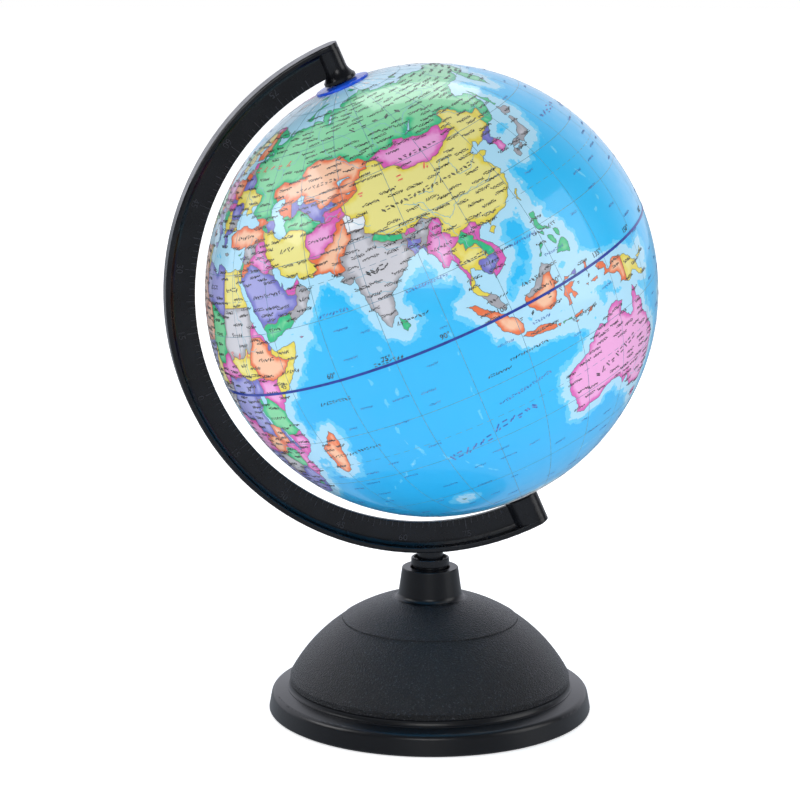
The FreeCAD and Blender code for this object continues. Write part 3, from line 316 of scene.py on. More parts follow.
# borders and rivers: open lines, parted by semicolons
BORDERS = """
    40 43.2, 42.5 43.2, 44.5 42.7, 46.4 41.9, 48.9 41.8;
    49.3 46.4, 48 47.8, 47 48.3, 47 50, 48.8 50.6, 51 51.6, 54 51, 55.5 50.6, 58.5 51, 61.5 50.8, 60 52,
        61 53, 62 54, 65 54.5, 68.5 55, 71 54.2, 73.5 53.7, 77 53.9, 77.9 53.2, 80 50.8, 83.5 51,
        85.5 49.6, 87.3 49.1, 89.5 49.8, 92.3 50.8, 95 50, 98 50.6, 98.8 52, 102.2 51.4, 102.3 50.6,
        106 50.3, 108.5 49.4, 112 49.4, 114.5 50.2, 116.7 49.8, 119.5 50.3, 120 52.6, 121 53.3,
        123.6 53.5, 126 52.6, 127.5 50, 130.5 48.9, 131 47.7, 134.8 48.4, 133.2 45, 131 44.9, 131.2 43.2,
        130.7 42.5, 130.9 42;
    87.3 49.1, 90.9 47, 91 45.2, 95.5 44.2, 96.4 42.7, 101.5 42.5, 105 41.6, 109 42.4, 111.9 43.7,
        113.6 44.8, 116 45.7, 119.7 46.6, 118 47.9, 116 47.8, 116.7 49.8;
    87.3 49.1, 85.6 48.2, 85.5 47.1, 83 47.1, 82.4 45.3, 80.2 45, 80.3 43, 80.2 42.2, 78 41.1, 76 40.4,
        73.8 39.7, 74 38.5, 74.9 37.3, 76 36.5, 76 35.8, 77.8 35.5, 80 35.5, 80 34, 79 32.6, 78.7 31.4,
        81 30.2, 84 28.9, 86.5 28, 88.1 27.9, 89 27.5, 90 28.2, 91.7 27.8, 94.5 29.2, 97.3 28.3,
        98.7 27.5, 98.7 25.8, 97.6 24, 99.4 22.9, 99.2 22.1, 101.2 21.5, 102.1 22.4, 104 22.6,
        105.4 23.3, 106.7 22.8, 106.7 22, 108.2 21.2;
    74 33, 76 32.8, 79 32.6;
    74.9 37.3, 73.6 36.8, 73.9 34.5, 74 33, 75 32.2, 74.5 30.9, 73 29.9, 71.8 27.9, 70.2 27.8, 70.5 25.5,
        71 24.4, 68.8 24.3, 68 23.4;
    52.4 41.75, 54.5 42.1, 55.5 41.3, 56 41.3, 56 45, 58.8 45.6;
    60.9 44.3, 62 43.5, 65.8 43.5, 66 42.6, 66.6 41.2, 68 41.1, 69.2 41.4, 71 42.2, 73.5 43.1, 76 42.9,
        79 42.8, 80.2 42.2;
    56 41.3, 57 41.3, 58.5 42.7, 60 42.2, 61.9 41, 64 38.9, 66.5 38, 66.6 37.4, 68 37, 69.8 37.2,
        71.3 38, 72.5 36.9, 74.9 37.3;
    68 37, 68.2 38.4, 67.5 39.2, 68.5 40, 70.7 40.3, 73 40.5, 71.5 41.6, 71 42.2;
    70.7 40.3, 69.5 39.5, 71.5 39.4, 73.8 39.7;
    53.6 37.2, 56 38.1, 58.5 37.6, 61.2 36.6, 61.2 35.6, 63.2 35.9, 64.5 36.8, 66.6 37.4;
    73.6 36.8, 71.5 36.3, 71.2 34.6, 69.8 33.5, 69.3 31.9, 66.5 31, 66.3 29.9, 62.5 29.4, 60.9 29.8,
        61.8 31, 60.6 33, 61.2 35.6;
    60.9 29.8, 62.8 28.2, 62.8 27.2, 63.2 26.7, 61.6 25.9, 61.6 24.9;
    81 30.2, 80.1 28.8, 82.5 27.6, 85 26.8, 88 26.4, 88.1 27.9;
    88.9 27.5, 89 26.8, 92 26.9, 91.7 27.8;
    89 21.4, 88.9 23, 88.1 24.2, 88.8 25.3, 88.4 26.4, 89.8 25.9, 89.8 25.2, 92.4 25, 92 24, 91.2 23.9,
        91.4 23, 92.3 23.3, 92.6 22, 93.3 23.5, 94.5 25, 95.2 26.6, 97.3 28.3;
    92.6 22, 92.1 20.5;
    101.2 21.5, 100.1 20.4, 98 19.6, 97.7 18.3, 98.7 16.5, 98.2 15, 99.2 13.5, 99.5 11.8, 98.5 9.8;
    100.1 20.4, 100.5 19.5, 101.2 19.5, 101 17.7, 102.6 18, 103.9 18.3, 104.8 16.5, 105.6 14.4,
        106.5 14.4, 107.5 14.7;
    105.6 14.4, 103 14.3, 102.4 13.5, 102.8 11.3;
    102.1 22.4, 103.5 20.8, 104.5 20, 104 19.4, 105.5 18.2, 106.8 16.5, 107.5 14.7, 107.5 12.4,
        106.2 11.7, 105.9 11, 104.9 10.5, 104.3 10.1;
    99.8 6.6, 101 5.8, 102.3 6.4;
    109.3 2.2, 110.3 1, 112 1.4, 114 1.5, 115 3, 115.9 4.3, 118 4.2;
    124.2 39.7, 126 41, 127 41.7, 128.2 41.6, 128.2 42, 129.7 42.4, 130.7 42.5;
    126.2 37.7, 127 38.3, 128.7 38.6;
    42.4 16.4, 44 17.4, 47 17, 48.8 18.3, 52 19, 55 20, 55.7 22, 55.2 22.7, 55.8 24.2, 56.7 24.9;
    52 19, 53.1 16.6, 53.3 16.2;
    55.2 22.7, 52.6 22.9, 51.5 24.4;
    48.8 28.5, 47.5 28.6, 46.5 29.1, 47.2 30, 48.3 29.8;
    46.5 29.1, 44.7 29.2, 42 31.1, 39.2 32.1, 37 31.5, 38 30.5, 36 29.2, 34.8 29.5;
    39.2 32.1, 38.8 33.4, 41.2 34.7, 41.3 36.5, 42.4 37.1, 44.8 37.2, 45.5 36, 46.2 35, 45.5 33.9,
        47.7 31.5, 47.8 30.9, 48.7 29.9;
    38.8 33.4, 36.8 32.3, 35.7 32.7, 35.1 33.1, 34.9 33.1;
    35.7 32.7, 36.6 34.2, 35.7 34.6;
    35.7 32.7, 35.5 31.5, 34.95 29.5;
    34.9 29.4, 34.2 31.4;
    42.4 37.1, 40 36.8, 38 36.8, 36.6 36.4, 35.7 35.9;
    44.8 37.2, 44.4 38.5, 44.5 39.7, 43.7 40.1, 43.5 41.1, 41.3 41.4;
    43.5 41.1, 45 41.3, 46.4 41.9;
    45 41.3, 46 40, 46.5 38.9;
    44.5 39.7, 46.5 38.9, 48 39.6, 49.1 38.4;
    30.2 69.9, 28.9 69, 28.5 68.3, 30 66, 29.8 64, 31.3 62.8, 27.8 60.3;
    28.9 69, 26 69.9, 23.5 68.8, 20.6 69.1, 18 68.3, 15.5 66.2, 14 64.3, 12.3 62, 12.2 60, 11.2 58.8;
    20.6 69.1, 23.7 67.9, 24.1 65.5;
    27.5 59.6, 27.6 57.6, 28.2 56.1, 31 54.9, 32.6 53.4, 31.8 52.1, 34.3 51.3, 35.5 50.4, 38 49.9,
        40.1 49.5, 39.8 48, 38.2 46.9;
    27.6 57.6, 24.2 57.9;
    28.2 56.1, 26.6 55.7, 24 56.3, 20.9 56.1;
    26.6 55.7, 25.6 54.2, 23.5 54, 22.7 54.4, 21 55.2;
    22.7 54.4, 19.4 54.5;
    23.5 54, 23.7 52.6, 23.6 51.5, 24 50.5, 22.6 49.1, 19 49.4, 17.7 50.3, 15 51, 14.6 52.5, 14.2 54.1;
    23.6 51.5, 27 51.6, 30.5 51.4, 31.8 52.1;
    22.6 49.1, 22.8 48, 25 47.8, 26.6 48.3, 29 48, 30 46.4, 28.2 45.5, 29.9 45.2;
    26.6 48.3, 28.1 46.8, 28.2 45.5;
    22.8 48, 21.2 46.2, 22.6 44.5, 23 43.8, 27 44.1, 28.9 43.7;
    22.6 44.5, 22.5 42.8, 23 41.4, 26.3 41.7, 28.3 42;
    26.3 41.7, 26 40.5;
    23 41.4, 21 40.8, 19.8 39.4;
    21.2 46.2, 19 45.9, 19 44.9, 18.4 42.4;
    19 45.9, 16.5 46.5, 13.5 45.6;
    22.8 48, 20 48.2, 17.2 48, 16.1 46.9, 16.5 46.5;
    17.2 48, 17 48.8, 15 49, 13.8 48.7, 12.3 50.2, 15 51;
    17 48.8, 19 49.4;
    13.8 48.7, 13 47.6, 9.6 47.5, 10.5 46.9, 13.7 46.5, 16.1 46.9;
    13.7 46.5, 13.6 45.5;
    9.6 47.5, 7.6 47.6, 6 46.2, 7 45.9, 9 45.9, 10.5 46.9;
    7 45.9, 7 44.3, 7.6 43.6;
    7.6 47.6, 8.2 49, 6.4 49.5, 4.2 50, 2.4 51.3;
    6.4 49.5, 6.1 50.8, 3.2 51.6;
    6.1 50.8, 7 52.3, 7.2 53.7;
    8.1 54.9, 11 54.8;
    -2 43.5, 0.7 42.7, 3.4 42.4;
    -9.1 41.9, -6.5 41.8, -7 39.7, -7.4 37;
    15.5 23.4, 14.9 22.9, 12 23.5, 9.9 26.4, 9.6 30, 11.5 33.4;
    9.6 30, 7.6 33.5, 8.5 37.2;
    -2.2 35.3, -1.7 32.5, -5 30, -8.7 28.7, -8.7 27.5;
    -4.8 25, 1.2 21.1, 3.2 19.1, 4.2 19.2, 5.8 19.5, 12 23.5;
    -4.8 25, -6.5 21, -5.5 16, -9.3 15.4, -12.2 14.8, -14 16.6, -16.8 16.1;
    -12.2 14.8, -11.4 12.4, -9 12.3, -8 10.2, -8.3 7.6, -7.5 4.1;
    -11.4 12.4, -13.7 12.6, -17 12.4;
    -8.3 7.6, -10.6 8.6, -13.4 9;
    -10.6 8.6, -11.6 6.6;
    -8 10.2, -5.5 10.4, -4 13.3, 0.2 15, 3.5 15.4, 4.2 19.2;
    -5.5 10.4, -2.8 10, -3 4.8;
    0.2 15, 2.2 12, 0 11, -2.8 11, -2.8 10;
    0 11, 1.1 5.7;
    1 11.2, 1.7 6;
    2.2 12, 3.6 11.7, 4 13.4, 7 13, 10 13.3, 13.6 13.7, 15.5 16.8, 14.9 22.9;
    3.6 11.7, 2.8 9, 2.7 6.1;
    13.6 13.7, 14.2 12.5, 13.5 10.5, 11.5 7, 9 5.5, 8.5 4.3;
    14.2 12.5, 15.1 10.5, 14.2 10, 15.5 7.6, 18.5 8, 22 11, 22.9 11, 22 13, 24 15.7, 24 19.5;
    15.5 7.6, 14.5 5, 16 2.2, 13.3 2.2, 9.5 2.3;
    13.3 2.2, 14.2 -1, 11.5 -2.5, 10.8 -4.1;
    16 2.2, 18.6 3.5, 17.8 0, 16 -2, 15 -4.8, 11.9 -5.4;
    18.6 3.5, 19 5, 22.5 4.1, 27.4 5, 29 4.4, 31 3.7, 34 4.2, 36 4.4, 39.5 3.4, 41.9 3.9, 41 2.8,
        41 -0.9, 41.7 -1.9;
    27.4 5, 24 8.8, 22.9 11;
    24 8.8, 26 10.2, 28 9.5, 31 9.8, 32.7 12, 33.2 12, 33.3 10.8, 34.3 10.6, 35 11.8, 36.2 13,
        36.4 14.3, 37 17, 38.8 18.1;
    36.4 14.3, 38.5 14.5, 40 14.4, 42.3 12.5, 43.3 12.7;
    42.3 12.5, 41.8 11, 42.9 10.9, 43.4 11.6;
    42.9 10.9, 42.7 10, 44 9, 47 8, 48 8, 45 5, 41.9 3.9;
    36 4.4, 34.2 7, 33 7.9, 34.3 10.6;
    34 4.2, 34.6 1.2, 33.9 0.1;
    31 3.7, 31.2 2.2, 29.9 0.6, 29.6 -1.4, 30.5 -1.1, 31.9 -1;
    33.9 -0.9, 37.7 -3.1, 39.4 -4.8;
    30.5 -1.1, 30.8 -3.3, 29.3 -4.5;
    29.6 -1.4, 29.3 -3.6;
    30.8 -8.5, 33 -9.4, 34.1 -9.8;
    34.7 -11.5, 37.5 -11.7, 40.6 -10.3;
    30.7 -8.4, 28.9 -8.5, 28.4 -11.8, 29.8 -13.4, 27 -11.9, 24 -11, 22 -11.2, 21.8 -7.3, 17 -7,
        16.5 -5.9, 12.2 -6.1;
    24 -11, 24 -13, 22 -13, 22 -16.2, 23.3 -17.5, 18.5 -17.4, 14 -17.4, 11.6 -17.2;
    23.3 -17.5, 25.2 -17.8, 27 -18, 28.9 -16, 30.4 -15.6, 30.2 -14.8, 33.2 -14, 33 -9.4;
    33.2 -14, 34.5 -14.5, 35.3 -17, 35.8 -16, 35.8 -14.5, 34.9 -13.4;
    30.4 -15.6, 32.9 -16.7, 32.7 -18.8, 32.4 -21, 31.3 -22.4, 32 -24.5, 32.1 -26.8, 33 -26.9;
    31.3 -22.4, 29.3 -22.2, 27.7 -20.5, 25.2 -17.8;
    29.3 -22.2, 26.5 -24.6, 25.5 -25.7, 22.7 -25.5, 20.7 -26.9, 20 -24.8;
    20 -28.4, 17.5 -28.8, 16.1 -28.6;
    27 -29.6, 28.6 -28.6, 29.4 -29.5, 28.2 -30.6, 27 -29.6;
    -137.5 59, -135 59.5, -130 55.5, -130.6 54.5;
    -95.2 49, -92 48.3, -89.3 48.1;
    -84.8 46.7, -83.8 45.8;
    -82.5 43.4, -82.9 41.6;
    -79 43.4, -79 42.7;
    -76.5 44.1, -74.7 45, -71.3 45.2, -69.2 47.4, -67.8 45.6, -66.9 44.6;
    -117.3 32.5, -114.7 32.7, -111 31.3, -108.2 31.5, -106.5 31.8, -104.4 29.5, -101.5 29.8, -99.5 27.5,
        -97 25.9;
    -92.4 14.3, -90.5 16, -91 17.2, -89.2 17.9, -88 18.4;
    -89.2 17.9, -89.2 15.8;
    -90.1 13.4, -89.3 14.4, -88.3 16.1;
    -87.5 12.7, -83 15.1;
    -85.9 11, -83.7 10.9, -83.3 10.9;
    -82.9 7.9, -82.5 9.9;
    -77.4 8.9, -78.2 7.1;
    -71.2 12.2, -72.5 9, -70 7, -67.5 6.2, -67 1.2, -64 2, -64 4, -60.7 5, -59.7 2, -56.5 1.9,
        -54.5 2.3, -52.8 2.2, -51.4 4.5;
    -60.7 5, -59.8 8.8;
    -56.5 1.9, -57.2 6.2;
    -54.5 2.3, -54 6.1;
    -67 1.2, -69.5 1, -69.9 -4.2, -73 -5, -74 -7.5, -72.5 -9.5, -70.6 -11, -69.5 -11, -65.4 -9.8,
        -65.3 -12, -60.5 -13.7, -60.2 -16.3, -58.3 -17, -57.8 -19.5, -58.2 -20.2, -57.8 -22.1,
        -55.7 -22.3, -54.3 -24, -54.6 -25.6, -53.7 -26.5, -57.6 -30.2, -55 -31.3, -53.1 -34;
    -79.3 1.5, -75.5 0, -70 -2.8, -69.9 -4.2;
    -75.5 0, -75.5 -1.5, -78.4 -3.2, -79 -5, -80.6 -3.3;
    -69.5 -11, -69 -15, -69.6 -17.5, -70.7 -18.4;
    -69.6 -17.5, -68.4 -19.5, -67.9 -22.8, -64.5 -22.3, -62.6 -22.2, -62 -20.2, -59 -19.3, -58.2 -20.2;
    -62.6 -22.2, -58 -25, -58.6 -27.2, -56 -27.3, -54.6 -25.6;
    -57.6 -30.2, -58.1 -34.6;
    -67.9 -22.8, -68.5 -25, -69.8 -30, -70.2 -34, -71 -38, -71.8 -43, -72.5 -49, -71.9 -52, -68.2 -52.6;
    -68.6 -52.6, -68.6 -54.9
"""
STRAIGHT_BORDERS = """
    25.1 31.9, 25 22;  25 22, 37.4 22;  25 22, 24 20, 24 19.5;  24 19.5, 15.5 23.4;
    -8.7 27.5, -4.8 25;  -8.7 27.7, -13.5 27.7;  -8.7 27.5, -8.7 26, -12 26, -12 23.4, -13 21.3, -17.4 21.3;
    25.2 -17.8, 23.5 -18.3, 21 -18.3, 21 -22, 20 -22, 20 -24.8, 20 -28.4;
    141 -2.2, 141 -9.4;  -141 70, -141 60.3, -137.5 59;  -123.4 49, -95.2 49;
    20.2 69.9, 20.6 69.1
"""
RIVERS = """
    87 47.5, 80 50, 77 52, 73.4 55, 69.5 58.5, 69 61, 66 63.5, 66.5 66.3;
    86 52.5, 83 55, 82.5 58, 76 61, 69 61;
    92 51.5, 91 53.5, 93 56, 92.5 58.5, 90 61, 89 63, 87 66, 84.5 70.5;
    104 52, 101.5 56, 100 58.2, 93 58.3;
    107 53.5, 108 57, 114 59.5, 120 60.5, 127 61.5, 129.5 63, 125 66, 124 69, 127 72.5;
    38 57, 44 56.3, 49 55.6, 49 53, 45.5 50.5, 46 48, 47.7 46;
    119 53, 125 52, 128 49.5, 135 48.5, 138 51, 141 52.8;
    92 34, 97 32.5, 99.5 28, 101.5 26.3, 104 28.7, 107 29.8, 111 30.7, 114 30.4, 116.5 30.2, 119 32,
        121.5 31.8;
    97 34.8, 101 34, 103.5 36.5, 106.5 38.5, 108 40.8, 111 40, 110.5 35, 114.5 35, 117.5 37.2, 119 37.7;
    94.5 33.5, 98 30, 99.5 26, 101 22, 102 18.5, 104.8 16.5, 105.8 13, 106 10.3;
    95 30, 98.5 25, 98 20, 97.6 17;
    95 26.5, 96 22, 95 18, 95.5 16;
    78.5 30.5, 80.5 27.2, 83 25.4, 87.5 25.3, 89.5 23.7, 90.5 22.5;
    82 30.3, 87 29.3, 92 29.3, 95 29.5, 94.5 27.5, 91 26.2, 89.8 25, 90.2 23;
    81 32.5, 77 34.5, 74 35.5, 72 33, 70.8 29.5, 68.2 26, 67.6 24;
    77.5 19.5, 79.5 18.8, 82 16.8;  75 17.8, 77.5 16.3, 80.8 16;  78 22.5, 74 21.8, 72.8 21.7;
    31.2 3.5, 31 7, 32.5 10, 32.5 15.5, 33.8 18, 31.5 19.5, 31 22, 33 25, 31 28.5, 31.2 31.4;
    37.5 11.8, 35 11.2, 33.5 13.5, 32.5 15.5;
    40.5 38.5, 42.5 36.5, 44 34, 46.5 32, 47.8 30.8;  39 38.5, 38.5 36, 41 34.5, 43.5 32.5, 46 31, 47.5 31;
    26 -11, 26.5 -6, 25.5 0, 23 2.2, 19 1.2, 16.5 -2.5, 13 -6;
    -9.5 10, -7 13, -3 16.7, 0 16.5, 3.5 12.5, 6.5 8, 6 4.5;
    23 -12.5, 23.5 -17, 27 -17.5, 30 -15.7, 33.5 -16.5, 36 -18.8;
    -74 -9, -73 -4, -66 -3, -60 -3.2, -54.5 -2, -50.5 -0.8;
    -95.3 47, -91.2 44, -90.5 39, -89.3 36, -91 32.5, -90 29.3;
    -112 46, -108 47.7, -101 47, -97 42.5, -94.8 39.2, -90.3 38.7;
    -118 61.5, -124 63, -130 66.5, -134.5 69;
    9.5 47.8, 12 48.9, 16.5 48, 19 47.5, 19 45.3, 22.5 44.3, 26 43.8, 28 45, 29.6 45.2;
    28 54, 30.5 51, 33 49, 35 47.7, 32.6 46.6;  34 53, 39 51.5, 42.5 48.5, 39.5 47.2;
    73 38, 67 37.3, 63 39.5, 60 42.5, 59.5 43.8;  73 40.8, 69 41, 66 44, 62 45.5;
    148 -36, 144 -34.5, 140.5 -34, 139.3 -35.5;  151 -28, 146 -30.5, 142 -33.8;
    57 60, 56 58, 52 56, 49.2 55;  140 62, 135 62, 131 63.5, 129 64.5;
    148 63, 151 66.5, 161 69.2;  -60 -20, -58 -25, -60.5 -32, -58.5 -34
"""
# ocean ridges, printed as paler streaks
RIDGES = """
    52 13, 58 9, 61 5, 66 1, 68 -5, 69 -12, 67 -18, 70 -25;
    70 -25, 78 -32, 85 -40, 96 -47, 112 -50, 130 -51, 150 -58;
    70 -25, 64 -29, 56 -34, 46 -40, 36 -46, 24 -52, 8 -54, -8 -48;
    89 14, 89.5 4, 89 -8, 88.5 -20, 88 -30;
    -30 60, -33 52, -29 45, -38 35, -45 25, -44 14, -32 6, -20 0, -13 -8, -14 -20, -14 -32, -10 -46;
    190 -65, 212 -58, 238 -50, 248 -38, 247 -22, 254 -8, 257 8, 255 18;
    143 33, 142 25, 145 17, 144 12, 138 9;  155 24, 170 19, 182 24, 195 22, 208 20;
    168 -28, 167 -34, 174 -40;  176 -24, 183 -16, 189 -12;  72 8, 73 0, 72 -8
"""
# the colour of each country, by a point inside it
COUNTRIES = {
    "green": """100 63, 21 54.7, 142.8 50, 158.5 55, 62 75.8, 57 72, 99 80, 143 75, 45.5 15.4,
        60 38.5, 84.5 28.3, 18 14, 80.8 7.6, 121 17, 125 7.5, 125 11.5, 122.8 10.3, 118.5 9.9,
        121 12.9, 102.5 20, 35 -7, 29 -19.5, -4 31.5, 3 46.5, -100 38, -150 65, -75 4, -64 -36,
        27.5 -29.8, 172.5 -43, 175.5 -38.8, -71 19, 6 60.6, 55 81, 44.5 40.8, 34.9 31, -1.3 8,
        16.8 44.6, -86.8 14.3""",
    "yellow": """104 34, 120.9 23.8, 109.8 19.2, 54 33, 29 27, 33.8 30, 46 5.8, 49 9, 32 50,
        100.8 15.5, 145 -6.5, 29 7, 24.5 51, 17 62, -3 40, -78 -1, -90 15.3, 22 44.2, -11.8 10.7,
        -10 18, 150 -5.7, -55 4, 12 5, 9.2 34.5, -79 22, -56.5 51""",
    "pink": """103 46.5, 134 -25, 146.8 -42, 43.5 33, 127.9 36.3, 66 34, 96.5 21, 106.5 21.6,
        107.5 13, 38 0.5, 36.5 -16, 21 6.5, 54.2 23.6, 39.5 15, 24.5 59, 10 51, -40 75, -23 76,
        -102 24, -8 39.5, 73.2 38.8, 90.5 27.4, 15.5 49.8, -5 18, 18.5 -13, -66.5 7, -56 -33,
        5.7 51.7, 25.1 69.9, 19.2 47.2, -53 3.8, -70 -53.9""",
    "orange": """68 48, 35 39, 70 29.5, 40 8.5, 47 -19, 102 -1, 114 -1, 110 -7.2, 115.2 -8.5,
        121.5 -8.6, 120 -10, 125 -9.3, 120.2 -2.5, 128 1, 129.5 -3.4, 126.7 -3.5, 137 -4.5, 10 17,
        26 66, 36.7 31.2, -58 -23, 23.6 55.2, -80.2 8.6, -1.5 53, -3 6.5, 27.5 -13, 45.2 42,
        75 41.3, 2 28, -64 -17, 8 47, 20 52.5, -79 -8.5""",
    "grey": """78 21, 30 15, 57 21, 102.3 4, 113.5 2.5, 117 5.2, 137.5 36, 143 43.5, 131 32.4,
        133.5 33.6, 36.5 34.9, 23.5 56.8, 14 47.5, 24 -23, 25 42.8, -98 64, -8.5 6.3, -1 12.5,
        -14 24.5, -84.5 9.9, 14 2, -71 -33, -58.8 5, 12 -1""",
    "violet": """45 24, 17 27, 127 40.3, 90 24, 64.5 41.8, 105 12.5, 32.3 1.5, 30 -2.5, 47.8 40.3,
        19 48.6, 29.2 47, -111 71, 21.8 39.5, 13 43, 24 45.5, 27 53.5, 9.4 56.3, -15.5 14.7,
        17 -5.5, -8 53.2, -52 -8, 33.8 -12.5, 30.5 -24, 20 -18.8, -86 13, 10 10, -19 65, 43 11.6,
        1 8, -74 66""",
    "white": "77 34.5, 60 -80, -75 79.5, -86 75.3, -92 80, -111 75, -120 72.6, 19.5 79, 16.5 78.3",
}
# large labels: longitude, latitude, marks, height mm, spread mm, climb degrees, ink
LARGE_LABELS = [
    (97, 60.5, 5, 3.3, 5.2, 0, "black"),
    (104, 45.8, 8, 2.0, 2.3, 0, "black"),
    (101, 35.5, 22, 2.2, 2.05, 3, "black"),
    (79, 22, 5, 3.0, 2.0, 0, "black"),
    (66, 47.6, 10, 1.9, 2.0, 0, "black"),
    (54, 33.5, 4, 2.2, 2.0, 0, "black"),
    (45, 24, 12, 1.7, 1.4, 0, "black"),
    (46, 15.6, 5, 1.7, 1.4, 0, "black"),
    (57.5, 21, 4, 1.7, 1.4, 0, "black"),
    (47, 5, 7, 1.8, 1.5, 0, "black"),
    (40, 8.8, 7, 1.8, 1.5, 0, "black"),
    (82.8, 8.4, 9, 1.9, 1.6, 0, "black"),
    (96, 21, 7, 1.7, 1.4, 0, "black"),
    (101.5, 15.4, 9, 2.0, 1.6, 0, "black"),
    (105, 12.8, 7, 1.6, 1.3, 0, "black"),
    (109.3, 14, 7, 1.6, 1.3, 0, "black"),
    (68.5, 30, 8, 1.7, 1.4, 0, "black"),
    (66, 33.6, 10, 1.6, 1.3, 0, "black"),
    (122, 13.6, 9, 1.7, 1.5, 0, "black"),
    (103, 4.5, 7, 1.7, 1.5, 0, "black"),
    (113, 4.6, 7, 1.9, 1.7, 0, "black"),
    (108, -2.4, 2, 2.2, 5.6, 0, "black"),
    (117, -0.9, 2, 2.2, 6.0, 0, "black"),
    (128, -1.6, 3, 2.0, 6.6, 0, "black"),
    (132, -25, 9, 3.2, 3.3, 12, "black"),
    (73.5, 0.9, 8, 1.8, 1.7, 0, "black"),
    (56, -4.8, 10, 1.7, 1.6, 0, "black"),
    (48.5, -20, 10, 1.7, 1.6, 0, "black"),
    (57.5, -19.4, 8, 1.6, 1.5, 0, "black"),
    (37.8, 0.4, 5, 1.9, 1.6, 0, "black"),
    (35, -6.5, 8, 1.8, 1.5, 0, "black"),
    (30, 15.5, 5, 2.1, 1.8, 0, "black"),
    (29.5, 26.5, 6, 2.1, 1.7, 0, "black"),
    (17, 27, 5, 2.1, 1.8, 0, "black"),
    (35.5, 39, 7, 2.0, 1.7, 0, "black"),
    (105.5, -10.4, 15, 1.5, 1.25, 0, "black"),
    (96.8, -12.2, 10, 1.4, 1.1, 0, "black"),
    (82, -29.5, 6, 3.9, 3.6, 10, "blue"),
    (96.5, -25.8, 6, 3.9, 3.6, 8, "blue"),
    (101.5, -19.2, 18, 1.7, 1.45, 8, "blue"),
    (160, 36, 6, 3.8, 4.2, 0, "blue"),
    (184, 33, 8, 3.8, 4.2, 0, "blue"),
    (64.5, 15.8, 9, 1.7, 1.6, 0, "blue"),
    (89, 14.6, 14, 1.6, 1.35, 0, "blue"),
    (114.8, 14, 12, 1.5, 1.3, 0, "blue"),
    (111, -4.9, 7, 1.5, 1.3, 0, "blue"),
    (121.5, 8, 9, 1.4, 1.2, 0, "blue"),
    (73, 38.2, 1, 3.4, 3.4, 0, "red"),
    (81, 41.2, 1, 3.4, 3.4, 0, "red"),
    (94.2, 40.9, 1, 3.4, 3.4, 0, "red"),
    (103, 41.2, 1, 3.4, 3.4, 0, "red"),
    (38, 57, 6, 3.2, 5.0, 0, "red"),
    (29, 10.5, 3, 3.4, 6.5, 0, "red"),
    (-98, 47, 9, 3.4, 5.0, 0, "red"),
    (-60, -14, 9, 3.4, 5.0, 0, "red"),
    (-100, 39, 14, 2.6, 2.8, 0, "black"),
    (-102, 58, 6, 3.0, 4.6, 0, "black"),
    (-54, -9, 6, 3.0, 4.2, 0, "black"),
    (-66, -35, 9, 2.0, 1.9, 0, "black"),
    (-41, 73, 11, 2.2, 2.2, 0, "black"),
    (-30, 30, 15, 3.8, 4.0, 0, "blue"),
    (-14, -25, 13, 3.8, 4.0, 0, "blue"),
    (-140, 8, 15, 3.8, 4.4, 0, "blue"),
    (-125, -28, 13, 3.8, 4.4, 0, "blue"),
    (60, -80, 9, 3.0, 4.0, 0, "black"),
]
NAME_INKS = {"black": "#1B1E24", "blue": "#2A5FB8", "red": "#EE5A4C"}
# each land colour along a country's edge, then inside it
LAND_INKS = {
    "green": ("#2FC084", "#84D9A2"),
    "yellow": ("#E8D650", "#EDE58C"),
    "pink": ("#DB5DB6", "#EEA6DC"),
    "orange": ("#EC7444", "#F8C4A2"),
    "grey": ("#A6A6AD", "#CFCFD6"),
    "violet": ("#7475C8", "#A5A7E0"),
    "white": ("#E6EEF5", "#F7FAFC"),
}
SPARE_COLOURS = ["yellow", "green", "orange", "pink", "grey", "violet"]

# the sea: how far from a coast or under a ridge it turns pale, as shares of a full depth of 1
PALE_DISTANCE_DEG = 3.4
RIDGE_DEPTH = 0.62
RIDGE_HALF_WIDTH_DEG = 1.1
ARCTIC_SHELF_LATITUDE = 69.5

# printed lines: width and ink
LINE_STYLES = {
    "coastline": (0.2 * MM, "#47686F"),
    "borders": (0.28 * MM, "#8A6A5C"),
    "rivers": (0.22 * MM, "#79B9CF"),
}
GRATICULE_INK = "#3F7F9C"
GRATICULE_WIDTH = 0.2 * MM
GRATICULE_EVERY = 15
GRATICULE_STEP = 3
GRATICULE_END = 84
DASHED_LATITUDES = (-66.56, -23.44, 23.44, 66.56)
DASH_WIDTH = 0.16 * MM
DASH_DEG = 1.6
DASH_PITCH = 1.7

# labels: marks in place of letters, and the gaps that labels keep
RANDOM_SEED = 7
MARK_WIDTH = 0.6
LARGE_WEIGHT = 0.17
BLUE_SLANT = 0.25
CLEAR_STEP = 3 * MM
CROWD_CUBE = 14 * MM
CITY_TRIES = 14000
CITY_LOWEST_LATITUDE = -58
CITY_GAPS = (6.4 * MM, 2.4 * MM)
CITY_MARKS = (5, 8)
CITY_LABEL = {"height": 1.45 * MM, "advance": 0.84 * MM, "weight": 0.27 * MM}
DOT_ASIDE = 0.55
DOT_ASIDE_PER_MARK = 0.41
DOT_RISE = 0.5
DOT_RADIUS = 0.33 * MM
DOT_SIDES = 8
SEA_NAME_TRIES = 1200
SEA_NAME_GAPS = (12 * MM, 6 * MM)
SEA_NAME_MARKS = (4, 9)
SEA_NAME_LABEL = {"height": 1.1 * MM, "advance": 0.85 * MM, "weight": 0.17 * MM, "slant": BLUE_SLANT}
SINE_OF_EDGES = (-0.97, 0.975)

